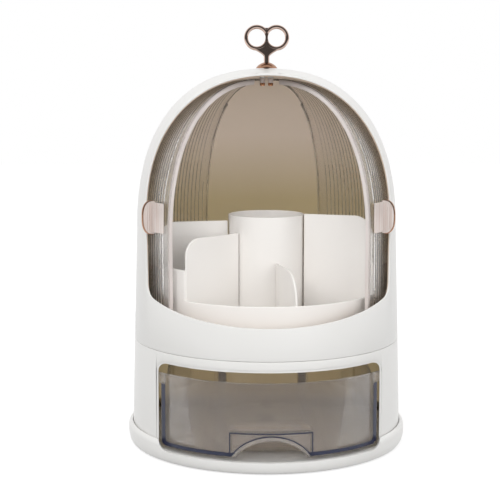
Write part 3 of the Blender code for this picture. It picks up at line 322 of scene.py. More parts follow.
# White ABS, moulded in a polished tool: cool white with soft, wide highlights
WHITE_ABS = moulded_plastic("white_abs_moulded", "ECEBE9", "E8E7E4", 0.3)
# ABS, semi-matt, a little warmer than the body's white and lighter: the extra lightness is painted light
# for the tray and cup, which sit in the dome's shade
WARM_ABS_PAINTED_LIGHT = moulded_plastic("warm_white_abs_painted_light", "F4F1ED", "F0ECE8", 0.36)
# Tea-tinted polycarbonate, moulded with a fine matt inside: it glows with what is behind it.
# It is browner and darker lower down: painted shade on the lower wall, which lies in shade
TEA_PC = moulded_plastic(
    "tea_polycarbonate_moulded", "DFCEBD", "BCAA84", 0.3,
    heights=(230 * MM, 300 * MM), **{"Transmission Weight": 0.7},
)
# The same polycarbonate over white: the white behind it makes it look solid, and its lighter colour is
# painted light for the lining, which lies in shade
TEA_LINING_PAINTED_LIGHT = moulded_plastic("tea_polycarbonate_on_white_painted_light", "E0CCBA", "D6BFA9", 0.34)
# Smoky clear polystyrene, moulded: nearly clear face on, with a slight warm haze
SMOKY_PS = clear_plastic(
    "smoky_polystyrene_moulded", "F8F0EA", "A3A9C2",
    density=10.0, roughness=0.01, ior=1.5, alpha=0.6, clear=0.91,
)
# Opaque navy for the polystyrene's edges: the smoky tint gathers there, and the dark reflections seen
# along the edges are painted into it
PAINTED_EDGE_PS = moulded_plastic("smoky_polystyrene_painted_edge", "1A2140", "141A34", 0.3)
# Clear polystyrene, moulded with reeds: bright lines along each rib, slightly grey in depth
CLEAR_PS = clear_plastic(
    "clear_polystyrene_reeded", "FCFAF8", "B9B4B4",
    density=8.0, roughness=0.02, ior=1.55, alpha=0.92, clear=0.95,
)
# The same polystyrene on the doors' front lips, pale, faintly pink and matt: a painted highlight along the
# lips' smooth clear edges
LIP_HIGHLIGHT_PS = moulded_plastic(
    "clear_polystyrene_painted_highlight", "FAF2EF", "F5ECE8", 0.42,
    peel=0.1, **{"Transmission Weight": 0.2},
)
# Zinc casting, plated rose gold and polished: it mirrors the studio's dark front between pink edges
DARK_ROSE = plated_metal("rose_gold_plate_polished", "DCC4B8", "D0B6A9", 0.08)
# ABS, vacuum plated pale rose gold: a light, satin skin, with upright white and pinkish streaks painted
# into its colour as the flutes' reflections
PALE_ROSE = plated_metal(
    "rose_gold_vacuum_plate_painted_streaks", "FFFEFD", "C9AC9D", 0.28,
    marks=0.01, patch=1.6 * MM, upright=0.02, **{"Metallic": 0.25},
)
# Brown gold plate, polished: the cap, and a thin dark band round the grips' ears that paints the dark
# reflection of their polished edge
BROWN_GOLD = plated_metal("brown_gold_plate_polished", "B98F76", "9A735C", 0.08)
# Copper-coloured pins, plated and turned
COPPER = plated_metal("copper_plate_turned", "D9A078", "CC8C5E", 0.15)
# Zinc-plated steel screws, washer, balls and spindle
STEEL = plated_metal("zinc_plated_steel", "A9ABAE", "97999C", 0.3)
# Black ABS with a spark-eroded matt surface
BLACK_ABS = moulded_plastic("black_abs_moulded", "222224", "1B1B1D", 0.5, peel=0.25)
# Moulded rubber, dull and slightly grainy
RUBBER = moulded_plastic("rubber_moulded", "1E1D1C", "151414", 0.8, peel=0.5)


def deselect():
    if bpy.context.mode != "OBJECT":
        bpy.ops.object.mode_set(mode="OBJECT")
    bpy.ops.object.select_all(action="DESELECT")


def activate(piece):
    deselect()
    piece.select_set(True)
    bpy.context.view_layer.objects.active = piece


def clean():
    """Merges what lies on one spot and turns all faces outwards, in edit mode."""
    bpy.ops.mesh.select_all(action="SELECT")
    bpy.ops.mesh.remove_doubles(threshold=WELD)
    bpy.ops.mesh.normals_make_consistent(inside=False)


def settle(piece):
    """Back to object mode, with the place in the mesh."""
    bpy.ops.object.mode_set(mode="OBJECT")
    activate(piece)
    bpy.ops.object.transform_apply(location=True, rotation=True, scale=True)
    return piece


def added(operator, name, **settings):
    """What one of Blender's add operators makes, under this name."""
    deselect()
    operator(**settings)
    made = bpy.context.object
    made.name = name
    return made


def drawn_line(name, points):
    """Edges through the points, drawn by extruding one vertex; left in edit mode, all selected."""
    piece = added(bpy.ops.mesh.primitive_plane_add, name, size=MM, location=points[0])
    bpy.ops.object.mode_set(mode="EDIT")
    bpy.ops.mesh.merge(type="CENTER")
    for near, far in zip(points, points[1:]):
        step = Vector(far) - Vector(near)
        bpy.ops.mesh.extrude_region_move(TRANSFORM_OT_translate={"value": step})
    bpy.ops.mesh.select_all(action="SELECT")
    return piece


def turned(name, profile, steps=RING, centre_x=0.0, start=0.0, sweep=360.0, closed=True):
    """A profile of (radius, height) points turned about an upright axis, from an azimuth on."""
    angle = radians(start - 90)
    across = Vector((cos(angle), sin(angle), 0))
    closed = closed and max(profile[0][0], profile[-1][0]) > 0
    ring = list(profile) + ([profile[0]] if closed else [])
    points = [Vector((centre_x, 0, height)) + across * radius for radius, height in ring]
    piece = drawn_line(name, points)
    bpy.ops.mesh.remove_doubles(threshold=WELD)
    bpy.ops.mesh.spin(steps=steps, angle=-radians(sweep), center=(centre_x, 0, 0), axis=(0, 0, 1))
    clean()
    return settle(piece)


def front_place(x, z, depth):
    return Vector((x, -depth, z))


def side_place(y, z, depth):
    return Vector((depth, y, z))


def plan_place(x, y, height):
    return Vector((x, y, height))


def standing_place(centre, out, across):
    """For outlines that stand upright and point out from an axis, with their depth across."""
    return lambda radius, height, depth: centre + out * radius + across * depth + UP * height


def prism(name, outline, low, high, place=plan_place, ease=0):
    """An outline, filled and pulled from low to high, its edges eased where ease is given."""
    ring = list(outline) + [outline[0]]
    piece = drawn_line(name, [place(x, y, low) for x, y in ring])
    bpy.ops.mesh.remove_doubles(threshold=WELD)
    bpy.ops.mesh.edge_face_add()
    pull = place(0, 0, high) - place(0, 0, low)
    bpy.ops.mesh.extrude_region_move(TRANSFORM_OT_translate={"value": pull})
    clean()
    settle(piece)
    if ease:
        soften(piece, ease, 3, angle=50)
    return piece


def make_bars(node, name, ease):
    """Straight white bars, one on the left and one on the right, as large as the nodes."""
    for word in ("left", "right"):
        low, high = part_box(f"{node}_{word}")
        shape = {"size": 1, "location": (low + high) / 2, "scale": high - low}
        bar = settle(added(bpy.ops.mesh.primitive_cube_add, f"{name}_{word}", **shape))
        soften(bar, ease, 3)
        finished(bar, WHITE_ABS, "cabinet", "white_abs", f"{node}_{word}")


def apply_modifier(piece, kind, **settings):
    activate(piece)
    modifier = piece.modifiers.new(kind.lower(), kind)
    for key, value in settings.items():
        setattr(modifier, key, value)
    bpy.ops.object.modifier_apply(modifier=modifier.name)


def combine(piece, other, operation="DIFFERENCE"):
    """Cuts with, joins or keeps what is common with another piece, which goes."""
    apply_modifier(piece, "BOOLEAN", object=other, operation=operation, solver="EXACT")
    bpy.data.objects.remove(other, do_unlink=True)


def cut(piece, outline, low, high, place=front_place):
    """Cuts away what an outline covers from low to high."""
    combine(piece, prism("cutter", outline, low, high, place))


def soften(piece, width, segments=2, angle=40):
    apply_modifier(
        piece,
        "BEVEL",
        width=width,
        segments=segments,
        limit_method="ANGLE",
        angle_limit=radians(angle),
        use_clamp_overlap=False,
        miter_outer="MITER_ARC",
    )


def open_whole(piece):
    """Edit mode, with all of the piece selected."""
    activate(piece)
    bpy.ops.object.mode_set(mode="EDIT")
    bpy.ops.mesh.select_all(action="SELECT")


def bisected(piece, point, normal):
    """Keeps what lies behind the plane, and closes the cut."""
    open_whole(piece)
    bpy.ops.mesh.bisect(plane_co=point, plane_no=normal, use_fill=True, clear_outer=True, threshold=WELD)
    clean()
    bpy.ops.object.mode_set(mode="OBJECT")


def finished(piece, material, body, slot, *nodes, smooth=32):
    """Gives a piece its material, smooth sides and body, and hides the CAD nodes that it stands for; the
    slot is not used.
    """
    activate(piece)
    piece.data.materials.clear()
    piece.data.materials.append(material)
    bpy.ops.object.shade_smooth_by_angle(angle=radians(smooth))
    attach(piece, body)
    if nodes:
        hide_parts(*nodes)


def arc(centre, radii, start, end, steps):
    """Points of an elliptical arc, angles in degrees."""
    points = []
    for step in range(steps + 1):
        angle = radians(start + (end - start) * step / steps)
        points.append((centre[0] + radii[0] * cos(angle), centre[1] + radii[1] * sin(angle)))
    return points


def eased(corners, steps=4):
    """A closed outline whose corners, (across, up, radius), are rounded."""
    points = []
    for index, (x, y, radius) in enumerate(corners):
        corner = Vector((x, y))
        if not radius:
            points.append((x, y))
            continue
        before = (Vector(corners[index - 1][:2]) - corner).normalized()
        after = (Vector(corners[(index + 1) % len(corners)][:2]) - corner).normalized()
        half = before.angle(after) / 2
        centre = corner + (before + after).normalized() * radius / sin(half)
        first = corner + before * radius / tan(half) - centre
        last = corner + after * radius / tan(half) - centre
        begin = degrees(atan2(first.y, first.x))
        turn = (degrees(atan2(last.y, last.x)) - begin + 180) % 360 - 180
        points += arc(centre, (radius, radius), begin, begin + turn, steps)
    return points


def direction(azimuth):
    """Unit vector at this azimuth, counted from the front towards +X."""
    angle = radians(azimuth)
    return Vector((sin(angle), -cos(angle), 0))


def drum_radius(height):
    share = (height - FOOT_TOP) / (SEAM_Z - FOOT_TOP)
    return DRUM_FOOT_RADIUS + (DRUM_TOP_RADIUS - DRUM_FOOT_RADIUS) * share


def shell_radius(height):
    share = (height - SEAM_Z) / (DOME_SPRING - SEAM_Z)
    return DRUM_TOP_RADIUS + (DOME_RADIUS - DRUM_TOP_RADIUS) * share


def dome_points(radius, spring, rise, inner, steps=DOME_STEPS):
    """Dome outline from radius inner near the crown down to the spring line."""
    power = 2 / DOME_POWER
    first = degrees(acos((inner / radius) ** (1 / power)))
    points = []
    for step in range(steps + 1):
        angle = radians(first * (1 - step / steps))
        points.append((radius * cos(angle) ** power, spring + rise * sin(angle) ** power))
    return points


def skin_points(inset, inner):
    """Dome and upright wall, set in from the cabinet's outside."""
    rise = CROWN_Z - DOME_SPRING - inset
    points = dome_points(DOME_RADIUS - inset, DOME_SPRING, rise, inner)
    return points + [(shell_radius(SHELL_BOTTOM) - inset, SHELL_BOTTOM)]


def opening_outline(low, grow=0.0):
    """The drawer's opening, its lower corners round only where it ends above the floor."""
    half = OPENING_HALF + grow
    top = OPENING_TOP + grow
    corner = OPENING_CORNER + grow
    lower = corner if low == OPENING_BOTTOM else 0
    return eased([(half, low, lower), (half, top, corner), (-half, top, corner), (-half, low, lower)], 8)


def make_foot():
    socket = drum_radius(DRUM_BOTTOM) + TOUCH
    low_band, high_band = (FOOT_BOTTOM + (FOOT_TOP - FOOT_BOTTOM) * share for share in FOOT_BULGE_SHARES)
    race_z = FLOOR_BOTTOM + RACE_DEPTH
    profile = [(SPINDLE_HOLE, FLOOR_TOP), (socket, FLOOR_TOP), (socket, FOOT_TOP - 0.4 * MM)]
    profile += arc((socket, high_band), (FOOT_RADIUS - socket, FOOT_TOP - high_band), 84, 0, 10)
    under = (FOOT_RADIUS - FOOT_UNDER_RADIUS, low_band - FOOT_BOTTOM)
    profile += arc((FOOT_UNDER_RADIUS, low_band), under, 0, -90, 12)
    profile += [
        (FOOT_UNDER_RADIUS - FOOT_SKIRT, FOOT_BOTTOM),
        (FOOT_UNDER_RADIUS - FOOT_SKIRT, FLOOR_BOTTOM),
        (RACE_OUTER, FLOOR_BOTTOM),
        (RACE_OUTER, race_z),
        (RACE_INNER, race_z),
        (RACE_INNER, FLOOR_BOTTOM),
        (SPINDLE_HOLE, FLOOR_BOTTOM),
    ]
    foot = turned("rounded_foot", profile)
    cut(foot, opening_outline(OPENING_BOTTOM), DRAWER_BACK_RADIUS / 2, FOOT_RADIUS + PAST)
    soften(foot, 0.5 * MM, angle=50)
    finished(foot, WHITE_ABS, "cabinet", "white_abs", "foot_plate")


def drum_wall(name, *ledge):
    """The drum's wall, turned whole, with the corners of what stands inwards from it."""
    low = DRUM_BOTTOM
    profile = [
        (drum_radius(SEAM_Z), SEAM_Z, 0.6 * MM),
        (drum_radius(low), low, 0.4 * MM),
        (drum_radius(low) - DRUM_WALL, low, 0.4 * MM),
        *ledge,
        (drum_radius(SEAM_Z) - DRUM_WALL, SEAM_Z, 0.4 * MM),
    ]
    return turned(name, eased(profile))


def make_drum():
    low = DRUM_BOTTOM
    ledge_low = LEDGE_TOP - LEDGE_HEIGHT
    ledge_in = drum_radius(SEAM_Z) - DRUM_WALL - LEDGE_DEPTH
    front = drum_wall(
        "drum_with_opening",
        (drum_radius(ledge_low) - DRUM_WALL, ledge_low, 0.3 * MM),
        (ledge_in, ledge_low, 0.3 * MM),
        (ledge_in, LEDGE_TOP, 0.3 * MM),
        (drum_radius(LEDGE_TOP) - DRUM_WALL, LEDGE_TOP, 0.3 * MM),
    )
    bisected(front, (0, SPLIT_Y, 0), (0, 1, 0))
    reach = FOOT_RADIUS + PAST
    step_profile = [
        (drum_radius(low) - OPENING_STEP_DEPTH, low),
        (drum_radius(low) + PAST, low),
        (drum_radius(SEAM_Z) + PAST, SEAM_Z),
        (drum_radius(SEAM_Z) - OPENING_STEP_DEPTH, SEAM_Z),
    ]
    step = turned("step_cut", step_profile)
    wide = opening_outline(low - PAST, OPENING_STEP)
    combine(step, prism("wide", wide, DRAWER_BACK_RADIUS / 2, reach + PAST, front_place), "INTERSECT")
    combine(front, step)
    cut(front, opening_outline(low - PAST), DRAWER_BACK_RADIUS / 2, reach)
    soften(front, 0.35 * MM, angle=50)
    finished(front, WHITE_ABS, "cabinet", "white_abs", "drum_front")

    back = drum_wall("drum_rear_wall")
    bisected(back, (0, SPLIT_Y + TOUCH, 0), (0, -1, 0))
    soften(back, 0.35 * MM, angle=60)
    finished(back, TEA_PC, "cabinet", "tea_translucent", "drum_back")


def arch_outline(set_back):
    """Side view, in Y and Z, of what is cut away at the front of the upper shell."""
    reach = FOOT_RADIUS + PAST
    top = CROWN_Z + 2 * PAST
    sill_z = ARCH_CORNER_Z - ARCH_SLOPE * (reach + ARCH_CORNER_Y)
    corners = [
        (ARCH_EDGE_Y, top, 0),
        (ARCH_EDGE_Y, ARCH_BEND_Z, ARCH_BEND_RADIUS),
        (ARCH_CORNER_Y, ARCH_CORNER_Z, ARCH_FILLET),
        (-reach, sill_z, 0),
        (-reach, top, 0),
    ]
    return eased([(y + set_back, z - set_back, radius) for y, z, radius in corners], 20)


def make_shells():
    reach = FOOT_RADIUS + PAST
    profile = skin_points(0, STEM_HOLE) + skin_points(FRAME_WALL, STEM_HOLE)[::-1]
    arch = turned("arch_band", profile)
    bisected(arch, (0, SPLIT_Y, 0), (0, 1, 0))
    cut(arch, arch_outline(0), -reach, reach, side_place)
    soften(arch, 0.5 * MM, angle=50)
    finished(arch, WHITE_ABS, "cabinet", "white_abs", "arch_frame")

    share = CROWN_LAND / (DOME_RADIUS - DOME_WALL)
    rise = CROWN_Z - DOME_SPRING - DOME_WALL
    land_z = DOME_SPRING + rise * (1 - share**DOME_POWER) ** (1 / DOME_POWER)
    inside = [(STEM_HOLE, land_z)] + skin_points(DOME_WALL, CROWN_LAND)
    dome = turned("tea_dome", skin_points(0, STEM_HOLE) + inside[::-1])
    bisected(dome, (0, SPLIT_Y + TOUCH, 0), (0, -1, 0))
    soften(dome, 0.3 * MM, angle=60)
    finished(dome, TEA_PC, "cabinet", "tea_translucent", "rear_dome")

    # Under the white skin the dome runs on as a thin lining
    liner = turned("tea_lining", skin_points(FRAME_WALL + TOUCH, STEM_HOLE) + inside[::-1])
    bisected(liner, (0, SPLIT_Y + TOUCH - 2 * WELD, 0), (0, 1, 0))
    cut(liner, arch_outline(LINER_SET_BACK), -reach, reach, side_place)
    soften(liner, 0.3 * MM, angle=55)
    # The lining's solid, lighter colour is painted light in the shade under the white skin
    finished(liner, TEA_LINING_PAINTED_LIGHT, "cabinet", "tea_translucent")


def arc_plan(half_width, radius, middle):
    """Plan points of an arc about the cabinet's axis, as wide as half_width each way."""
    half = degrees(asin(half_width / radius))
    points = []
    for step in range(PLAN_STEPS + 1):
        place = direction(middle - half + 2 * half * step / PLAN_STEPS) * radius
        points.append((place.x, place.y))
    return points


def scoop_outline(half, height):
    """Arched cut in the foot of the drawer's front."""
    radius = (half**2 + height**2) / (2 * height)
    reach = degrees(asin(half / radius))
    points = arc((0, DRAWER_BOTTOM + height - radius), (radius, radius), 90 - reach, 90 + reach, 32)
    return [(half, DRAWER_BOTTOM - PAST)] + points + [(-half, DRAWER_BOTTOM - PAST)]


def face_band(name, outer, inner, proud, depth):
    """What lies between two outlines seen from the front, bent to the drawer's face."""
    band = prism(name, outer, FACE_RADIUS / 2, FACE_RADIUS + PAST, front_place)
    cut(band, inner, FACE_RADIUS / 3, FACE_RADIUS + 2 * PAST)
    low = DRAWER_BOTTOM + TOUCH
    front, rear = FACE_RADIUS + proud, FACE_RADIUS - depth
    shell = turned("shell", [(front, low), (front, DRAWER_TOP), (rear, DRAWER_TOP), (rear, low)])
    combine(band, shell, "INTERSECT")
    return band


def framed(half, low, high, corner):
    """An outline whose two lower corners are round."""
    return eased([(half, low, corner), (half, high, 0), (-half, high, 0), (-half, low, corner)], 8)


def make_painted_drawer_lines():
    """Painted navy lines along the edges of the drawer's face, its recess and its scoop: the smoky tint
    and dark reflections of the clear walls seen edge-on.
    """
    top = DRAWER_TOP - FLANGE_HEIGHT
    half = FACE_HALF - EDGE_INSET
    bottom = DRAWER_BOTTOM + EDGE_INSET
    recess_half = RECESS_HALF + RECESS_WALL
    recess_top = DRAWER_BOTTOM + RECESS_HEIGHT
    rim_half = SCOOP_HALF + SCOOP_RIM
    rim_height = SCOOP_HEIGHT + SCOOP_RIM
    outlines = (
        (
            framed(half, bottom, top, 4 * MM),
            framed(half - EDGE_LINE, bottom + EDGE_LINE, top + PAST, 3 * MM),
        ),
        (
            framed(recess_half, bottom - PAST, recess_top, 0),
            framed(recess_half - THIN_LINE, bottom - 2 * PAST, recess_top - THIN_LINE, 0),
        ),
        (scoop_outline(rim_half + THIN_LINE, rim_height + THIN_LINE), scoop_outline(rim_half, rim_height)),
    )
    for number, (outer, inner) in enumerate(outlines):
        line = face_band(f"drawer_edge_{number}", outer, inner, EDGE_PROUD, DRAWER_WALL - TOUCH)
        if number == 0:
            cut(line, scoop_outline(rim_half, SCOOP_HEIGHT), 0, FACE_RADIUS + PAST)
        finished(line, PAINTED_EDGE_PS, "drawer", "smoky_clear")


def make_drawer():
    inner_front = FACE_RADIUS - DRAWER_WALL
    outline = arc_plan(FACE_HALF, FACE_RADIUS, 0)
    outline += [arc_plan(FACE_HALF, inner_front, 0)[-1], arc_plan(DRAWER_HALF, inner_front, 0)[-1]]
    outline += arc_plan(DRAWER_HALF, DRAWER_BACK_RADIUS, 180)
    outline += [arc_plan(DRAWER_HALF, inner_front, 0)[0], arc_plan(FACE_HALF, inner_front, 0)[0]]
    tub = prism("smoky_drawer", outline, DRAWER_BOTTOM, DRAWER_TOP, ease=0.9 * MM)
    half_inside = DRAWER_HALF - DRAWER_WALL
    inside = arc_plan(half_inside, inner_front, 0)
    inside += arc_plan(half_inside, DRAWER_BACK_RADIUS - DRAWER_WALL, 180)
    combine(tub, prism("inside", inside, DRAWER_BOTTOM + DRAWER_FLOOR, DRAWER_TOP + PAST, ease=1.5 * MM))
    for side in (-1, 1):
        tab_outline = [
            arc_plan(FACE_HALF - MM, FACE_RADIUS, 0)[-1],
            arc_plan(FACE_HALF + FLANGE_REACH, FACE_RADIUS, 0)[-1],
            arc_plan(FACE_HALF + FLANGE_REACH, inner_front, 0)[-1],
            arc_plan(FACE_HALF - MM, inner_front, 0)[-1],
        ]
        tab_outline = [(side * x, y) for x, y in tab_outline]
        tab = prism("tab", tab_outline, DRAWER_TOP - FLANGE_HEIGHT, DRAWER_TOP)
        soften(tab, 0.5 * MM, 2)
        combine(tub, tab, "UNION")

    back = FACE_RADIUS - RECESS_DEPTH
    outer_half = RECESS_HALF + RECESS_WALL
    pocket = prism(
        "pocket",
        arc_plan(outer_half, inner_front + MM, 0)
        + [(outer_half, RECESS_WALL - back), (-outer_half, RECESS_WALL - back)],
        DRAWER_BOTTOM + DRAWER_FLOOR / 2,
        DRAWER_BOTTOM + RECESS_HEIGHT + RECESS_WALL,
        ease=0.8 * MM,
    )
    combine(tub, pocket, "UNION")
    hollow = prism(
        "pocket_inside",
        arc_plan(RECESS_HALF, inner_front - TOUCH, 0) + [(RECESS_HALF, -back), (-RECESS_HALF, -back)],
        DRAWER_BOTTOM - PAST,
        DRAWER_BOTTOM + RECESS_HEIGHT,
        ease=0.8 * MM,
    )
    combine(tub, hollow)
    scoop = scoop_outline(SCOOP_HALF, SCOOP_HEIGHT)
    cut(tub, scoop, back, FOOT_RADIUS + PAST)
    finished(tub, SMOKY_PS, "drawer", "smoky_clear", "drawer")
    rim = face_band(
        "scoop_rim",
        scoop_outline(SCOOP_HALF + SCOOP_RIM, SCOOP_HEIGHT + SCOOP_RIM),
        scoop,
        SCOOP_RIM_PROUD,
        SCOOP_RIM_DEPTH,
    )
    finished(rim, CLEAR_PS, "drawer", "clear_ribbed", smooth=50)
    make_painted_drawer_lines()
    make_bars("drawer_rail", "runner", 0.5 * MM)


def make_deck_and_posts():
    low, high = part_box("deck")
    edge = eased([(high.x, high.z, 0.5 * MM), (high.x, low.z, 0.5 * MM), (0, low.z, 0), (0, high.z, 0)])
    deck = turned("upper_floor", edge, 96)
    for word in ("left", "right"):
        screw_low, screw_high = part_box(f"deck_screw_{word}")
        middle = (screw_low + screw_high) / 2
        radius = (screw_high.x - screw_low.x) / 2 + TOUCH
        seat = high.z - 1.5 * MM
        shank = 1.7 * MM
        profile = [(0, high.z + PAST), (radius, high.z + PAST), (radius, seat)]
        profile += [(shank, seat), (shank, low.z - PAST), (0, low.z - PAST)]
        sink = turned("sink", profile, 32)
        sink.location = (middle.x, middle.y, 0)
        combine(deck, sink)
    finished(deck, WHITE_ABS, "cabinet", "white_abs", "deck")
    make_bars("rear_post", "stay", 1.0 * MM)

    low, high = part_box("door_guide")
    outer = high.x
    inner = 110 * MM
    lip = 1.5 * MM
    floor = low.z + 1.6 * MM
    inner_top = low.z + 5 * MM
    corners = [
        (outer - lip, high.z, 0.5 * MM),
        (outer, high.z, 0.5 * MM),
        (outer, low.z, 0.3 * MM),
        (inner, low.z, 0.3 * MM),
        (inner, inner_top, 0.5 * MM),
        (inner + lip, inner_top, 0.5 * MM),
        (inner + lip, floor, 0.4 * MM),
        (outer - lip, floor, 0.4 * MM),
    ]
    guide = turned("door_track", eased(corners))
    finished(guide, WHITE_ABS, "cabinet", "white_abs", "door_guide")


def side_wall():
    """The higher part of the tray's rim, round the sides and back."""
    start, end = SIDE_WALL
    steps = round((end - start) / 2)
    outline = []
    hair = 0.02 * MM  # keeps its faces off those of the rim that it joins
    for radius, order in ((TRAY_RADIUS - hair, 1), (TRAY_RADIUS - TRAY_WALL + hair, -1)):
        for step in range(steps + 1)[::order]:
            place = direction(start + (end - start) * step / steps) * radius
            outline.append((place.x, place.y))
    low = TRAY_BOTTOM + LOW_WALL_HEIGHT - 3 * MM
    return prism("side_wall", outline, low, TRAY_BOTTOM + SIDE_HEIGHT, ease=0.8 * MM)


def divider(azimuth, height, corner):
    """A radial wall from the cup to the tray's rim, its outer top corner rounded off."""
    out = direction(azimuth)
    place = standing_place(Vector(), out, out.cross(UP))
    inner = CUP_RADIUS + TOUCH + TRAY_WALL / 2
    outer = TRAY_RADIUS - TRAY_WALL / 2
    low = TRAY_BOTTOM + TRAY_FLOOR / 2
    top = TRAY_BOTTOM + height
    points = [(inner, low), (outer, low)]
    points += arc((outer - corner, top - corner), (corner, corner), 0, 90, 16)
    points.append((inner, top))
    return prism("divider", points, -TRAY_WALL / 2, TRAY_WALL / 2, place, ease=0.7 * MM)


def make_tray():
    inner = CUP_RADIUS + TOUCH
    floor = TRAY_BOTTOM + TRAY_FLOOR
    socket_top = TRAY_BOTTOM + SOCKET_HEIGHT
    low_top = TRAY_BOTTOM + LOW_WALL_HEIGHT
    corners = [
        (inner, socket_top, 0.5 * MM),
        (inner + TRAY_WALL, socket_top, 0.8 * MM),
        (inner + TRAY_WALL, floor, 0.8 * MM),
        (TRAY_RADIUS - TRAY_WALL, floor, 1.2 * MM),
        (TRAY_RADIUS - TRAY_WALL, low_top, 0.9 * MM),
        (TRAY_RADIUS, low_top, 0.9 * MM),
        (TRAY_RADIUS, TRAY_BOTTOM, 0.8 * MM),
        (inner, TRAY_BOTTOM, 0.4 * MM),
    ]
    tray = turned("divided_tray", eased(corners), 180)
    combine(tray, side_wall(), "UNION")
    for azimuth, height, corner in DIVIDERS:
        combine(tray, divider(azimuth, height, corner), "UNION")
    # The tray's white is lighter than the body's: painted light for the dome's shade
    finished(tray, WARM_ABS_PAINTED_LIGHT, "cabinet", "warm_white_abs", "tray")

    wall = CUP_RADIUS - CUP_WALL
    corners = [
        (0, floor, 0),
        (wall, floor, 2.0 * MM),
        (wall, CUP_TOP, 0.9 * MM),
        (CUP_RADIUS, CUP_TOP, 0.9 * MM),
        (CUP_RADIUS, TRAY_BOTTOM, 0.8 * MM),
        (0, TRAY_BOTTOM, 0),
    ]
    cup = turned("round_brush_cup", eased(corners, 6), 128)
    # The cup takes the same lighter white: painted light
    finished(cup, WARM_ABS_PAINTED_LIGHT, "cabinet", "warm_white_abs", "brush_cup")


def make_door(word, side):
    """A clear dome segment turned about its own pivot, with reeds moulded on its outside."""
    rise = DOOR_TOP - DOOR_SPRING
    profile = dome_points(DOOR_RADIUS, DOOR_SPRING, rise, DOOR_ROOT, 36)
    lower_rows = 10
    for row in range(1, lower_rows + 1):
        profile.append((DOOR_RADIUS, DOOR_SPRING + (DOOR_BOTTOM - DOOR_SPRING) * row / lower_rows))
    column = RIB_TURN / RIB_COLUMNS
    columns = round(DOOR_SPAN / column)
    start = DOOR_FRONT if side > 0 else -DOOR_FRONT - DOOR_SPAN
    pivot = side * PIVOT_X
    door = turned(f"reeded_door_{word}", profile, columns, pivot, start, DOOR_SPAN, closed=False)
    outer_count = len(door.data.vertices)
    apply_modifier(door, "SOLIDIFY", thickness=DOOR_WALL, offset=-1, use_even_offset=True)

    lifts = {}
    for vertex in door.data.vertices:
        x, y, _ = vertex.co
        azimuth = degrees(atan2(x - pivot, -y)) % 360
        turn = (azimuth if side > 0 else 360 - azimuth) - DOOR_FRONT
        outside = vertex.index < outer_count
        if min(turn, DOOR_SPAN - turn) < column / 2:
            lift = -EDGE_ROUND if outside else EDGE_ROUND
        elif outside and FRONT_BAND < turn < DOOR_SPAN - REAR_BAND:
            phase = round((turn - FRONT_BAND) / column) % RIB_COLUMNS
            lift = RIB_HEIGHT * sin(pi * phase / RIB_COLUMNS) ** 0.7
        else:
            continue
        lifts.setdefault(round(lift, 7), []).append(vertex.index)
    for lift, indices in lifts.items():
        pull_columns(door, indices, pivot, lift)

    corners = [
        (PIN_RADIUS + TOUCH, HUB_TOP, 0.2 * MM),
        (HUB_RADIUS, HUB_TOP, 0.4 * MM),
        (HUB_RADIUS, HUB_STEP_Z, 0.4 * MM),
        (HUB_FOOT_RADIUS, HUB_STEP_Z, 0),
        (HUB_FOOT_RADIUS, HUB_BOTTOM, 0.2 * MM),
        (PIN_RADIUS + TOUCH, HUB_BOTTOM, 0.1 * MM),
    ]
    hub = turned(f"hub_{word}", eased(corners), 40, pivot)
    finished(hub, PALE_ROSE, f"door_{word}", "rose_gold", smooth=50)
    combine(door, door_lip("rear_lip", side, DOOR_SPAN, -1, REAR_LIP_START, REAR_LIP_DEPTHS), "UNION")
    lip = door_lip(f"front_lip_{word}", side, 0, 1, FRONT_LIP_START, (FRONT_LIP_DEPTH, FRONT_LIP_DEPTH))
    # The lip's pale matt colour is a painted highlight
    finished(lip, LIP_HIGHLIGHT_PS, f"door_{word}", "clear_ribbed", smooth=50)
    finished(door, CLEAR_PS, f"door_{word}", "clear_ribbed", f"door_{word}", smooth=50)


def door_lip(name, side, turn, inwards, start, depths):
    """A thin rib that stands inwards from an edge of the door, all the way down from the crown."""
    out = direction(side * (DOOR_FRONT + turn))
    pivot = Vector((side * PIVOT_X, 0, 0))
    place = standing_place(pivot, out, UP.cross(out) * side * inwards)

    def curve(inset):
        points = dome_points(DOOR_RADIUS - inset, DOOR_SPRING, DOOR_TOP - DOOR_SPRING - inset, start, 48)
        return points + [(DOOR_RADIUS - inset, LIP_BOTTOM)]

    high_part = [point for point in curve(DOOR_WALL + depths[0]) if point[1] > REAR_STEP_Z]
    low_part = [point for point in curve(DOOR_WALL + depths[1]) if point[1] <= REAR_STEP_Z]
    outline = curve(DOOR_WALL / 2) + low_part[::-1] + high_part[::-1]
    lip = prism(name, outline, LIP_SET_IN, LIP_SET_IN + LIP_THICKNESS, place)
    soften(lip, 0.3 * MM, 2, angle=50)
    return lip


def pull_columns(piece, indices, pivot, lift):
    """Moves these vertices away from an upright axis by the same share of their radius."""
    activate(piece)
    bpy.ops.object.mode_set(mode="EDIT")
    bpy.ops.mesh.select_mode(type="VERT")
    bpy.ops.mesh.select_all(action="DESELECT")
    bpy.ops.object.mode_set(mode="OBJECT")
    for index in indices:
        piece.data.vertices[index].select = True
    bpy.ops.object.mode_set(mode="EDIT")
    share = 1 + lift / DOOR_RADIUS
    bpy.ops.transform.resize(value=(share, share, 1), center_override=(pivot, 0, 0))
    bpy.ops.object.mode_set(mode="OBJECT")


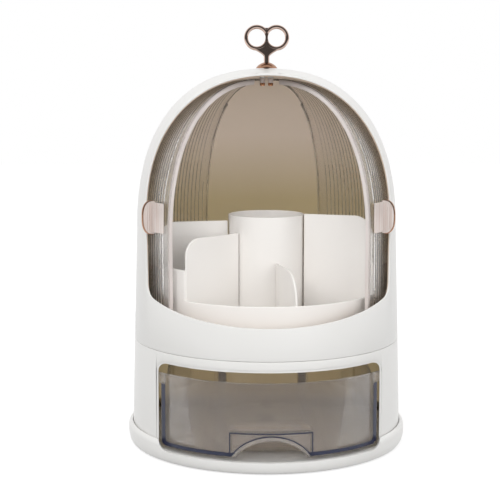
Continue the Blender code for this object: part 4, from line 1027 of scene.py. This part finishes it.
def make_grip(word, side):
    """A curved plate on the door with a D-shaped ear standing out through the arch."""
    pivot = Vector((side * PIVOT_X, 0, 0))
    inner = DOOR_RADIUS + RIB_HEIGHT + TOUCH / 2
    outer = DOOR_RADIUS + TOUCH + GRIP_THICKNESS
    outline = []
    flutes = round(radians(GRIP_TURN) * outer / FLUTE_PITCH)
    steps = 8 * flutes
    for radius, order in ((outer, 1), (inner, -1)):
        for step in range(steps + 1)[::order]:
            azimuth = DOOR_FRONT + GRIP_INSET + GRIP_TURN * step / steps
            dip = FLUTE_DEPTH * abs(cos(pi * flutes * step / steps)) ** 3 if order > 0 else 0
            place = direction(side * azimuth) * (radius - dip) + pivot
            outline.append((place.x, place.y))
    plate = prism(f"fluted_grip_{word}", outline, GRIP_Z - GRIP_HEIGHT / 2, GRIP_Z + GRIP_HEIGHT / 2)
    soften(plate, 0.5 * MM, 2, angle=50)

    out = direction(side * (DOOR_FRONT + GRIP_INSET + GRIP_TURN - EAR_TURN))
    ear_place = standing_place(pivot, out, out.cross(UP))
    root = inner + 0.8 * MM
    rim = outer - GRIP_THICKNESS + EAR_REACH
    power = 2 / EAR_POWER
    ear_steps = 32

    def ear_outline(set_in):
        tall = EAR_HEIGHT / 2 - set_in
        points = [(root, GRIP_Z - tall)]
        for step in range(1, ear_steps):
            angle = radians(-90 + 180 * step / ear_steps)
            lift = copysign(abs(sin(angle)) ** power, sin(angle))
            reach = (rim - outer - set_in) * cos(angle) ** power
            points.append((outer + reach, GRIP_Z + lift * tall))
        return points + [(root, GRIP_Z + tall)]

    half = GRIP_THICKNESS / 2
    # A dark band on the ear's edge: a painted reflection of the polished edge
    painted_dark_edge = prism(f"grip_painted_dark_edge_{word}", ear_outline(0), -half, half, ear_place, ease=0.5 * MM)
    cut(painted_dark_edge, ear_outline(EAR_RIM), -PAST, PAST, ear_place)
    bisected(painted_dark_edge, pivot + out * (outer + 0.2 * MM), -out)
    finished(painted_dark_edge, BROWN_GOLD, f"door_{word}", "rose_gold")
    half_thick = GRIP_THICKNESS / 2 - 0.2 * MM
    ear = prism("ear", ear_outline(EAR_RIM + 2 * WELD), -half_thick, half_thick, ear_place)
    count = int((rim - outer - 2.5 * MM) / FLUTE_PITCH)
    for number in range(count):
        middle = outer + 1.5 * MM + FLUTE_PITCH * number
        rest = max(0.2, 1 - ((middle - outer) / (rim - outer)) ** EAR_POWER)
        half = EAR_HEIGHT / 2 * rest ** (1 / EAR_POWER) - 2.0 * MM
        near, far = middle - 0.4 * MM, middle + 0.4 * MM
        low, high = GRIP_Z - half, GRIP_Z + half
        slot = [(near, low), (far, low), (far, high), (near, high)]
        for face in (-1, 1):
            depth = face * half_thick
            cut(ear, slot, depth - FLUTE_DEPTH * face, depth + MM * face, ear_place)
    combine(plate, ear, "UNION")
    finished(plate, PALE_ROSE, f"door_{word}", "rose_gold", f"grip_{word}")


def make_bracket_and_pins():
    low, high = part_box("pivot_bracket")
    boss_radius = 2.8 * MM
    bore = 1.5 * MM
    bore_top = low.z + 3.4 * MM
    neck = 1.2 * MM
    head = 3.0 * MM
    plate_bottom = high.z - 2.2 * MM
    corners = ((high.x, low.y), (high.x, high.y), (low.x, high.y), (low.x, low.y))
    outline = eased([(x, y, 3 * MM) for x, y in corners], 6)
    plate = prism("door_bracket", outline, plate_bottom, high.z, ease=0.5 * MM)
    for side, word in ((-1, "left"), (1, "right")):
        corners = [
            (0, plate_bottom + MM, 0),
            (boss_radius, plate_bottom + MM, 0),
            (boss_radius, low.z, 0.5 * MM),
            (bore, low.z, 0),
            (bore, bore_top, 0),
            (0, bore_top, 0),
        ]
        combine(plate, turned("boss", eased(corners), 40, side * PIVOT_X), "UNION")
        pin_low, pin_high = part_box(f"pivot_pin_{word}")
        radius = (pin_high.x - pin_low.x) / 2
        corners = [
            (0, pin_high.z, 0),
            (neck, pin_high.z, 0.2 * MM),
            (neck, low.z - TOUCH, 0.1 * MM),
            (PIN_RADIUS, low.z - TOUCH, 0.2 * MM),
            (PIN_RADIUS, pin_low.z + head, 0.1 * MM),
            (radius, pin_low.z + head, 0.3 * MM),
            (radius, pin_low.z, 0.9 * MM),
            (0, pin_low.z, 0),
        ]
        pin = turned(f"door_pin_{word}", eased(corners), 40, side * PIVOT_X)
        finished(pin, COPPER, "cabinet", "rose_gold", f"pivot_pin_{word}")
    finished(plate, WHITE_ABS, "cabinet", "white_abs", "pivot_bracket")


def cut_key_hole(piece, side, radius):
    """Cuts the round hole in one of the key's rings."""
    rim = arc((side * KEY_RING_X, KEY_RING_Z), (radius, radius), 0, 360, 64)[:-1]
    cut(piece, rim, -PAST, PAST)


def make_key():
    stem_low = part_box("key_handle")[0].z
    ring_radius = KEY_RING_HOLE + KEY_RING_TUBE
    parts = []
    for side in (-1, 1):
        ring = added(
            bpy.ops.mesh.primitive_torus_add,
            "ring",
            location=(side * KEY_RING_X, 0, KEY_RING_Z),
            rotation=(radians(90), 0, 0),
            major_segments=96,
            minor_segments=24,
            major_radius=ring_radius,
            minor_radius=KEY_RING_TUBE,
        )
        settle(ring)
        cut_key_hole(ring, -side, KEY_RING_HOLE)
        parts.append(ring)

    at_stem, at_rings = KEY_WEB_DROPS
    web = []
    for step in range(KEY_WEB_STEPS + 1):
        share = step / KEY_WEB_STEPS
        half = KEY_STEM + (KEY_WEB_HALF - KEY_STEM) * share**KEY_WEB_CURVE
        web.append((half, KEY_RING_Z - at_stem + (at_stem - at_rings) * share))
    web += [(KEY_RING_X, KEY_RING_Z - ring_radius + 2 * MM), (0, KEY_RING_Z - 4 * MM)]
    web += [(-x, z) for x, z in web[:-1][::-1]]
    shield = prism("shield", web, -KEY_THICKNESS / 2, KEY_THICKNESS / 2, front_place, ease=1.0 * MM)
    for side in (-1, 1):
        cut_key_hole(shield, side, KEY_RING_HOLE + MM)
    outline = [(x * MM, KEY_RING_Z + z * MM) for x, z in KEY_BRIDGE]
    outline += [(-x, z) for x, z in outline[::-1]]
    bridge = prism("bridge", outline, -KEY_RING_TUBE / 2, KEY_RING_TUBE / 2, front_place)
    stem_top = KEY_RING_Z - at_stem + 3 * MM
    profile = [(0, stem_top), (KEY_STEM * 0.6, stem_top), (KEY_STEM, stem_top - 3 * MM)]
    stem = turned("stem", profile + [(KEY_STEM, stem_low), (0, stem_low)], 48)

    # Joined as one skin, then smoothed, so that the parts run into each other as in a casting
    key = parts[0]
    key.name = "key_shaped_handle"
    activate(key)
    for other in (parts[1], shield, bridge, stem):
        other.select_set(True)
    bpy.ops.object.join()
    apply_modifier(key, "REMESH", mode="VOXEL", voxel_size=0.3 * MM)
    apply_modifier(key, "SMOOTH", factor=0.5, iterations=10)
    finished(key, DARK_ROSE, "cabinet", "rose_gold", "key_handle", smooth=60)

    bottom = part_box("key_cap")[0].z
    ball = (CAP_RADIUS**2 + CAP_HEIGHT**2) / (2 * CAP_HEIGHT)
    start = degrees(acos(STEM_HOLE / ball))
    end = degrees(asin((ball - CAP_HEIGHT) / ball))
    profile = arc((0, bottom + CAP_HEIGHT - ball), (ball, ball), start, end, 20)
    cap = turned("domed_cap", profile + [(STEM_HOLE, bottom)], 96)
    finished(cap, BROWN_GOLD, "cabinet", "rose_gold", "key_cap")


def refined_copy(node, name, material, body, slot, width=0.2 * MM):
    """A welded copy of a small piece with eased edges."""
    deselect()
    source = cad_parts[node]
    piece = source.copy()
    piece.data = source.data.copy()
    piece.animation_data_clear()
    piece.parent = None
    bpy.context.scene.collection.objects.link(piece)
    piece.name = name
    open_whole(piece)
    bpy.ops.mesh.remove_doubles(threshold=WELD)
    bpy.ops.mesh.dissolve_limited(angle_limit=radians(1))
    bpy.ops.object.mode_set(mode="OBJECT")
    soften(piece, width, 2)
    finished(piece, material, body, slot, node)


def make_turntable():
    for number in range(1, 6):
        low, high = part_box(f"grip_pad_{number}")
        middle = (low + high) / 2
        radius = (high.x - low.x) / 2
        dish = low.z + 0.3 * MM
        corners = [
            (0, high.z, 0),
            (radius, high.z, 0.2 * MM),
            (radius, low.z, 0.5 * MM),
            (0.7 * radius, low.z, 0.1 * MM),
            (0.65 * radius, dish, 0.1 * MM),
            (0, dish, 0),
        ]
        pad = turned(f"rubber_pad_{number}", eased(corners), 48)
        pad.location = (middle.x, middle.y, 0)
        finished(settle(pad), RUBBER, "base", "rubber", f"grip_pad_{number}")

    low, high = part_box("turntable_base")
    hole = 4.2 * MM
    race_z = high.z - RACE_DEPTH
    dish = low.z + 0.6 * MM
    corners = [
        (hole, high.z, 0.3 * MM),
        (RACE_INNER, high.z, 0.3 * MM),
        (RACE_INNER, race_z, 0.4 * MM),
        (RACE_OUTER, race_z, 0.4 * MM),
        (RACE_OUTER, high.z, 0.3 * MM),
        (high.x, high.z, 0.8 * MM),
        (high.x, low.z, 0.8 * MM),
        (60 * MM, low.z, 0.3 * MM),
        (59 * MM, dish, 0.3 * MM),
        (20 * MM, dish, 0.3 * MM),
        (19 * MM, low.z, 0.3 * MM),
        (hole, low.z, 0.3 * MM),
    ]
    base = turned("turntable_disc", eased(corners), 160)
    finished(base, BLACK_ABS, "base", "black_abs", "turntable_base")
    refined_copy("spindle", "centre_spindle", STEEL, "base", "steel")
    refined_copy("spindle_washer", "thrust_washer", STEEL, "base", "steel", 0.1 * MM)
    refined_copy("spindle_nut", "hex_nut", STEEL, "base", "steel")
    refined_copy("ball_cage", "bearing_cage", WHITE_ABS, "ball_ring", "white_abs", 0.1 * MM)
    for word in ("left", "right"):
        refined_copy(f"floor_screw_{word}", f"lower_screw_{word}", STEEL, "cabinet", "steel")
        refined_copy(f"deck_screw_{word}", f"upper_screw_{word}", STEEL, "cabinet", "steel")
    for number in range(1, 7):
        low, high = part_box(f"bearing_ball_{number}")
        shape = {"subdivisions": 4, "radius": (high.z - low.z) / 2, "location": (low + high) / 2}
        ball = settle(added(bpy.ops.mesh.primitive_ico_sphere_add, f"steel_ball_{number}", **shape))
        finished(ball, STEEL, "ball_ring", "steel", f"bearing_ball_{number}")


def dark_front(tree, place, fade):
    """What shiny pieces mirror: dark in front of the object, white from there on."""
    ahead = add_node(tree, "SeparateXYZ", {}, {"Vector": place}).outputs["Y"]
    limits = {"From Min": fade[0], "From Max": fade[1], "To Min": FRONT_LEVEL, "To Max": 1.0}
    return add_node(tree, "MapRange", limits, {"Value": ahead}).outputs["Result"]


def bare_tree(owner):
    owner.use_nodes = True
    owner.node_tree.nodes.clear()
    return owner.node_tree


def make_floor():
    floor = added(bpy.ops.mesh.primitive_plane_add, "studio_floor", size=8, location=(0, 0, 0))
    material = bpy.data.materials.new("studio_floor")
    tree = bare_tree(material)
    rays = add_node(tree, "LightPath").outputs
    either = {"operation": "MAXIMUM"}
    times = {"operation": "MULTIPLY"}
    seen = add_node(tree, "Math", either, {0: rays["Is Camera Ray"], 1: rays["Is Glossy Ray"]})
    seen = add_node(tree, "Math", either, {0: seen.outputs[0], 1: rays["Is Transmission Ray"]})
    mirrored = dark_front(tree, add_node(tree, "TexCoord").outputs["Object"], FLOOR_FADE)
    level = add_node(tree, "Mix", {2: 1.0}, {"Factor": rays["Is Glossy Ray"], 3: mirrored})
    glow = add_node(tree, "Math", times, {0: seen.outputs[0], 1: level.outputs[0]})
    glow = add_node(tree, "Math", {**times, 1: FLOOR_GLOW}, {0: glow.outputs[0]})
    paint = add_node(tree, "BsdfDiffuse", {"Color": linear_colour(FLOOR_PAINT)})
    white = {"Color": linear_colour(STUDIO_WHITE)}
    light = add_node(tree, "Emission", white, {"Strength": glow.outputs[0]})
    both = add_node(tree, "AddShader", {}, {0: paint.outputs[0], 1: light.outputs[0]})
    add_node(tree, "OutputMaterial", {}, {"Surface": both.outputs[0]})
    floor.data.materials.append(material)


def make_world():
    world = bpy.context.scene.world or bpy.data.worlds.new("studio")
    bpy.context.scene.world = world
    tree = bare_tree(world)
    rays = add_node(tree, "LightPath").outputs
    either = {"operation": "MAXIMUM"}
    seen = add_node(tree, "Math", either, {0: rays["Is Camera Ray"], 1: rays["Is Transmission Ray"]})
    mirrored = dark_front(tree, add_node(tree, "TexCoord").outputs["Generated"], WORLD_FADE)
    lit = add_node(tree, "Mix", {2: WORLD_LIGHT}, {"Factor": rays["Is Glossy Ray"], 3: mirrored})
    level = add_node(tree, "Mix", {3: 1.0}, {"Factor": seen.outputs[0], 2: lit.outputs[0]})
    white = {"Color": linear_colour(STUDIO_WHITE)}
    sky = add_node(tree, "Background", white, {"Strength": level.outputs[0]})
    add_node(tree, "OutputWorld", {}, {"Surface": sky.outputs[0]})


def make_lamp(name, place, side, watts):
    """A square soft box that faces the middle of the dome."""
    lamp = added(bpy.ops.object.light_add, name, type="AREA", location=place)
    lamp.data.size = side
    lamp.data.energy = watts
    lamp.visible_glossy = False
    lamp.rotation_euler = (LAMP_TARGET - Vector(place)).to_track_quat("-Z", "Y").to_euler()


def make_camera():
    rotation = (radians(CAMERA_TILT), 0, radians(CAMERA_TURN))
    camera = added(bpy.ops.object.camera_add, "Camera", location=CAMERA_PLACE, rotation=rotation)
    camera.data.sensor_width = 36
    camera.data.lens = CAMERA_LENS
    bpy.context.scene.camera = camera


make_foot()
make_drum()
make_shells()
make_drawer()
make_deck_and_posts()
make_tray()
for side, word in ((-1, "left"), (1, "right")):
    make_door(word, side)
    make_grip(word, side)
make_bracket_and_pins()
make_key()
make_turntable()
make_floor()
make_world()
for name, place, side, watts in LAMPS:
    make_lamp(name, place, side, watts)
make_camera()
bpy.context.scene.view_settings.view_transform = "Standard"
deselect()
